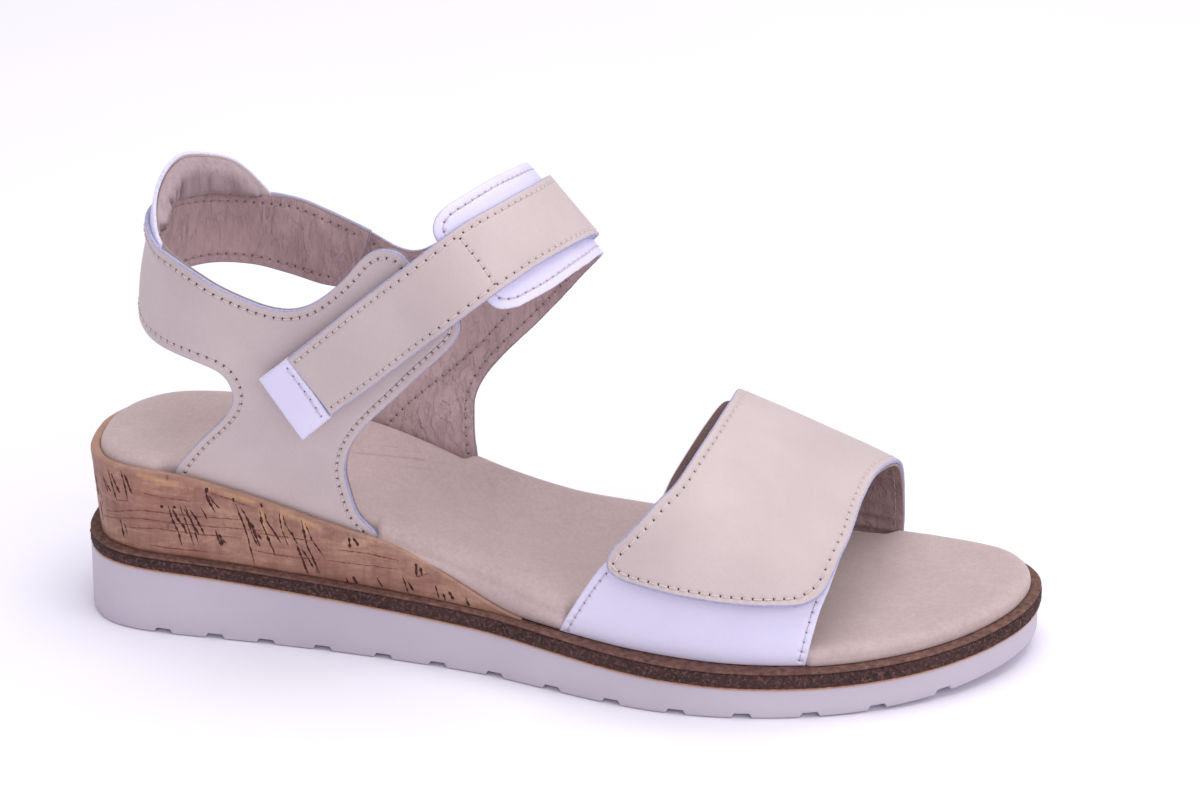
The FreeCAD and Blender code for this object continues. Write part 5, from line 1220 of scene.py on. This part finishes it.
# ---- hook-and-loop tapes
def pile(amp): return lambda u, v, p: amp * rng.random(len(p))
def tape(name, S, runs, d, mats, face, node, body, slot_="tape"):
    ol = Outline(S, runs, 0.8)
    kw = {"relief": pile(0.22)} if face == "out" else {"relief_in": pile(0.10)}
    ob = leather(name, ol, d[0], d[1], mats, (), grid=0.75, r=0.15, **kw)
    place_piece(ob, body, slot_, node)
TP = (2.15, 2.85)
tape("ankle_loop_pile", loop, [[(-50.0, 8.0)], [(-50.0, 22.4)], [(-85.5, 22.4)], [(-85.5, 8.0)]], TP, [LOOPS] * 4, "out", "ankle_loop_tape", "shoe")
tape("ankle_hook_field", loop, [[(-54.0, 8.4)], [(-54.0, 22.0)], [(-83.0, 22.0)], [(-83.0, 8.4)]], (3.5, 4.35), [HOOKS] * 4, "in", "ankle_hook_tape", "ankle_flap")

# ---- fore strap
F_LIN, F_OUT = (4.0, 4.8), (4.9, 6.1)
BASE_REAR = [(0.0, 136.1), (0.038, 137.7), (0.087, 140.4), (0.127, 143.1), (0.162, 145.8), (0.183, 147.7), (0.215, 150.9), (0.25, 154.0), (0.29, 157.5),
             (0.332, 160.2), (0.374, 161.4), (0.431, 163.4), (0.507, 166.0), (0.598, 168.6)]
BASE_FRONT = [(0.64, 208.2), (0.564, 208.2), (0.457, 207.6), (0.366, 206.7), (0.301, 205.6), (0.244, 204.4), (0.208, 203.4), (0.16, 202.4), (0.103, 201.4), (0.04, 200.6)]
base = Outline(arch, [BASE_REAR + [(0.625, 169.5), (0.642, 170.8)], [(0.664, 174.0)], BASE_FRONT, [(0.0, 200.1), (0.0, 185.0), (0.0, 165.0)]])
b_rows = [base.path(0, 0, 1.9, (0.8, 1.0)), base.path(2, 2, 1.8, (1.0, 0.8))]
b_rows[0] = b_rows[0][b_rows[0][:, 0] < 0.262]
BROWN_SEAM = [(0.255, 155.0), (0.255, 163.0), (0.262, 164.6), (0.33, 170.0), (0.45, 178.0), (0.66, 187.0)]
def brown_side(c):
    """Above its white foot the base is lined in brown along its rear edge."""
    t, x = zip(*BROWN_SEAM[1:])
    return c[0] > 0.255 and c[1] < np.interp(c[0], t, x)
def base_up(d): return lambda t, x: d + 1.45 * smooth(0.49, 0.64, t)
ob = leather("fore_base_leather", base, base_up(T_OUT[0]), base_up(T_OUT[1]), MATS_W + [BROWN], b_rows, relief=soft(0.08, 24, 15.0), grid=1.5, zone=brown_side, seam=BROWN_SEAM)
place_piece(ob, "shoe", "white_leather", "fore_base_outer")
ob = threads("fore_base_stitching", [(arch, r, base_up(T_OUT[1] - 0.06), "out") for r in b_rows], THREAD_W)
place_piece(ob, "shoe", "white_leather")
ob = leather("fore_base_lining_leather", base, base_up(T_LIN[0]), base_up(T_LIN[1]), [FLESH, EDGE_L, LINING_SHADED_FORE, PIT_SHADE], b_rows, face="in", relief_in=soft(0.12, 12, 16.0), pits=False, grid=1.8)
place_piece(ob, "shoe", "taupe_lining", "fore_base_lining")

HINGE_T = 0.70
FLAP_REAR = [(0.65, 170.6), (0.596, 170.4), (0.542, 169.4), (0.497, 168.2), (0.457, 166.8), (0.42, 165.4), (0.384, 163.9), (0.355, 162.2),
             (0.333, 160.3), (0.308, 158.5), (0.284, 156.6), (0.262, 154.7), (0.24, 152.6), (0.224, 151.0), (0.211, 150.2)]
FLAP_LOW = [(0.199, 150.0), (0.187, 150.6), (0.181, 151.9), (0.177, 153.9), (0.175, 158.8), (0.175, 163.8), (0.176, 168.9), (0.178, 173.8), (0.18, 178.6), (0.183, 183.3),
            (0.187, 188.1), (0.193, 192.8), (0.198, 196.4), (0.206, 198.8)]
FLAP_FRONT = [(0.219, 201.0), (0.234, 202.5), (0.256, 203.6), (0.294, 204.8), (0.335, 205.8), (0.383, 207.0), (0.425, 207.5), (0.474, 207.9), (0.521, 208.5), (0.572, 209.3),
              (0.613, 210.2), (0.653, 211.3), (0.69, 212.2)]
REAR_ALL = [(0.994, 166.2), (0.95, 167.6), (0.90, 168.6), (0.85, 169.4), (0.80, 170.0), (0.75, 170.6), (0.70, 170.7)] + FLAP_REAR
FRONT_ALL = FLAP_LOW + FLAP_FRONT + [(0.76, 214.0), (0.82, 215.2), (0.88, 215.8), (0.94, 215.8)]
fore = Outline(arch, [REAR_ALL + FRONT_ALL, [(0.994, 215.4), (0.994, 200.0), (0.994, 180.0)]])
f_row = fore.path(0, 0, lambda t, x: 2.3 - 0.75 * (1 - smooth(0.186, 0.22, t)), (1.5, 1.5))
def sink(t, d): return d - F_LIN[0] * smooth(0.72, 0.90, t) + 1.5 * (1 - np.clip((t - 0.172) / 0.085, 0, 1)) ** 2
B0, B1 = tangent(arch, (HINGE_T + 0.022, 191.0), (HINGE_T - 0.022, 191.0))
ob = leather("fore_strap_leather", fore, lambda t, x: sink(t, F_OUT[0]), lambda t, x: sink(t, F_OUT[1]), MATS, [f_row], relief=soft(0.14, 26, 18.0), grid=1.6, r=0.5)
blended(ob, "beige_leather", "fore_flap", B0, B1, "fore_flap_outer", "fore_inner_outer")
ob = threads("fore_strap_stitching", [(arch, f_row, lambda t, x: sink(t, F_OUT[1]) - 0.06, "out")], THREAD)
blended(ob, "beige_leather", "fore_flap", B0, B1)
def fore_folds(t, x, p):
    k = smooth(0.86, 0.95, t)
    return 0.85 * k * np.sin(p[:, 2] * 1.7 + 0.12 * x + 1.2 * fbm(p, 9, 1, 2.0)) * np.clip(0.6 + fbm(p, 14, 1, 6.0), 0, 1) + 0.14 * fbm(p, 10, 3, 20.0)
ob = leather("fore_strap_lining_leather", fore, lambda t, x: sink(t, F_LIN[0]), lambda t, x: sink(t, F_LIN[1]), [FLESH, EDGE_L, LINING_SHADED_FORE, PIT_SHADE], [f_row], face="in", relief_in=fore_folds, pits=False, grid=1.6)
blended(ob, "taupe_lining", "fore_flap", B0, B1, "fore_flap_lining", "fore_inner_lining")
ob = threads("fore_strap_lining_stitching", [(arch, f_row, lambda t, x: sink(t, F_LIN[0]) + 0.06, "in")], THREAD_L)
blended(ob, "beige_leather", "fore_flap", B0, B1)
tape("fore_loop_pile", arch, [[(0.215, 160.0)], [(0.215, 196.0)], [(0.47, 202.0)], [(0.47, 174.0)]], TP, [LOOPS] * 4, "out", "fore_loop_tape", "shoe")
tape("fore_hook_field", arch, [[(0.225, 163.0)], [(0.225, 193.0)], [(0.45, 199.0)], [(0.45, 176.0)]], (3.5, 3.95), [HOOKS] * 4, "in", "fore_hook_tape", "fore_flap")


# ---------------------------------------------------------------- floor, light, camera
def floor():
    me = bpy.data.meshes.new("floor")
    s = 6.0
    me.from_pydata([(-s, -s, 0), (s, -s, 0), (s, s, 0), (-s, s, 0)], [], [(0, 1, 2, 3)])
    k = Mat("floor", 0.9)
    k.color(k.mix(k.ramp(k.noise(3, 2, 0.5), [(0.3, W0), (0.7, W1)]), rgb(245, 241, 255), rgb(249, 246, 255)))
    me.materials.append(k.m)
    ob = bpy.data.objects.new("floor", me)
    bpy.context.scene.collection.objects.link(ob)
    ob.location.z = -0.0002
floor()

sc = bpy.context.scene
w = bpy.data.worlds.new("studio")
w.use_nodes = True
bg = w.node_tree.nodes["Background"]
bg.inputs["Color"].default_value = (0.97, 0.965, 1.0, 1)
bg.inputs["Strength"].default_value = 0.62
sc.world = w
sc.view_settings.view_transform = "Standard"

def area(name, loc, target, size, power, color=(1, 1, 1)):
    li = bpy.data.lights.new(name, "AREA")
    li.shape = "RECTANGLE"
    li.size, li.size_y = size
    li.energy = power
    li.color = color
    ob = bpy.data.objects.new(name, li)
    ob.location = loc
    ob.rotation_euler = (Vector(target) - Vector(loc)).to_track_quat("-Z", "Y").to_euler()
    sc.collection.objects.link(ob)
area("top_softbox", (0.25, 0.1, 1.5), (0.0, 0.0, 0.05), (1.4, 1.2), 14.0)
area("front_softbox", (0.9, -1.3, 0.9), (0.0, 0.0, 0.05), (1.0, 0.9), 4.5)
area("left_fill", (-1.3, -0.7, 0.7), (0.0, 0.0, 0.05), (0.9, 0.9), 0.9)
area("right_fill", (1.3, -0.5, 0.7), (0.0, 0.0, 0.05), (0.8, 0.8), 3.0)

cam = bpy.data.cameras.new("camera")
cam.lens, cam.sensor_width = 128.5, 36.0
co = bpy.data.objects.new("camera", cam)
co.location = (0.20975, -1.01965, 0.49749)
co.rotation_euler = (math.radians(67.5), 0.0, math.radians(11.0))
sc.collection.objects.link(co)
sc.camera = co

bpy.context.view_layer.update()
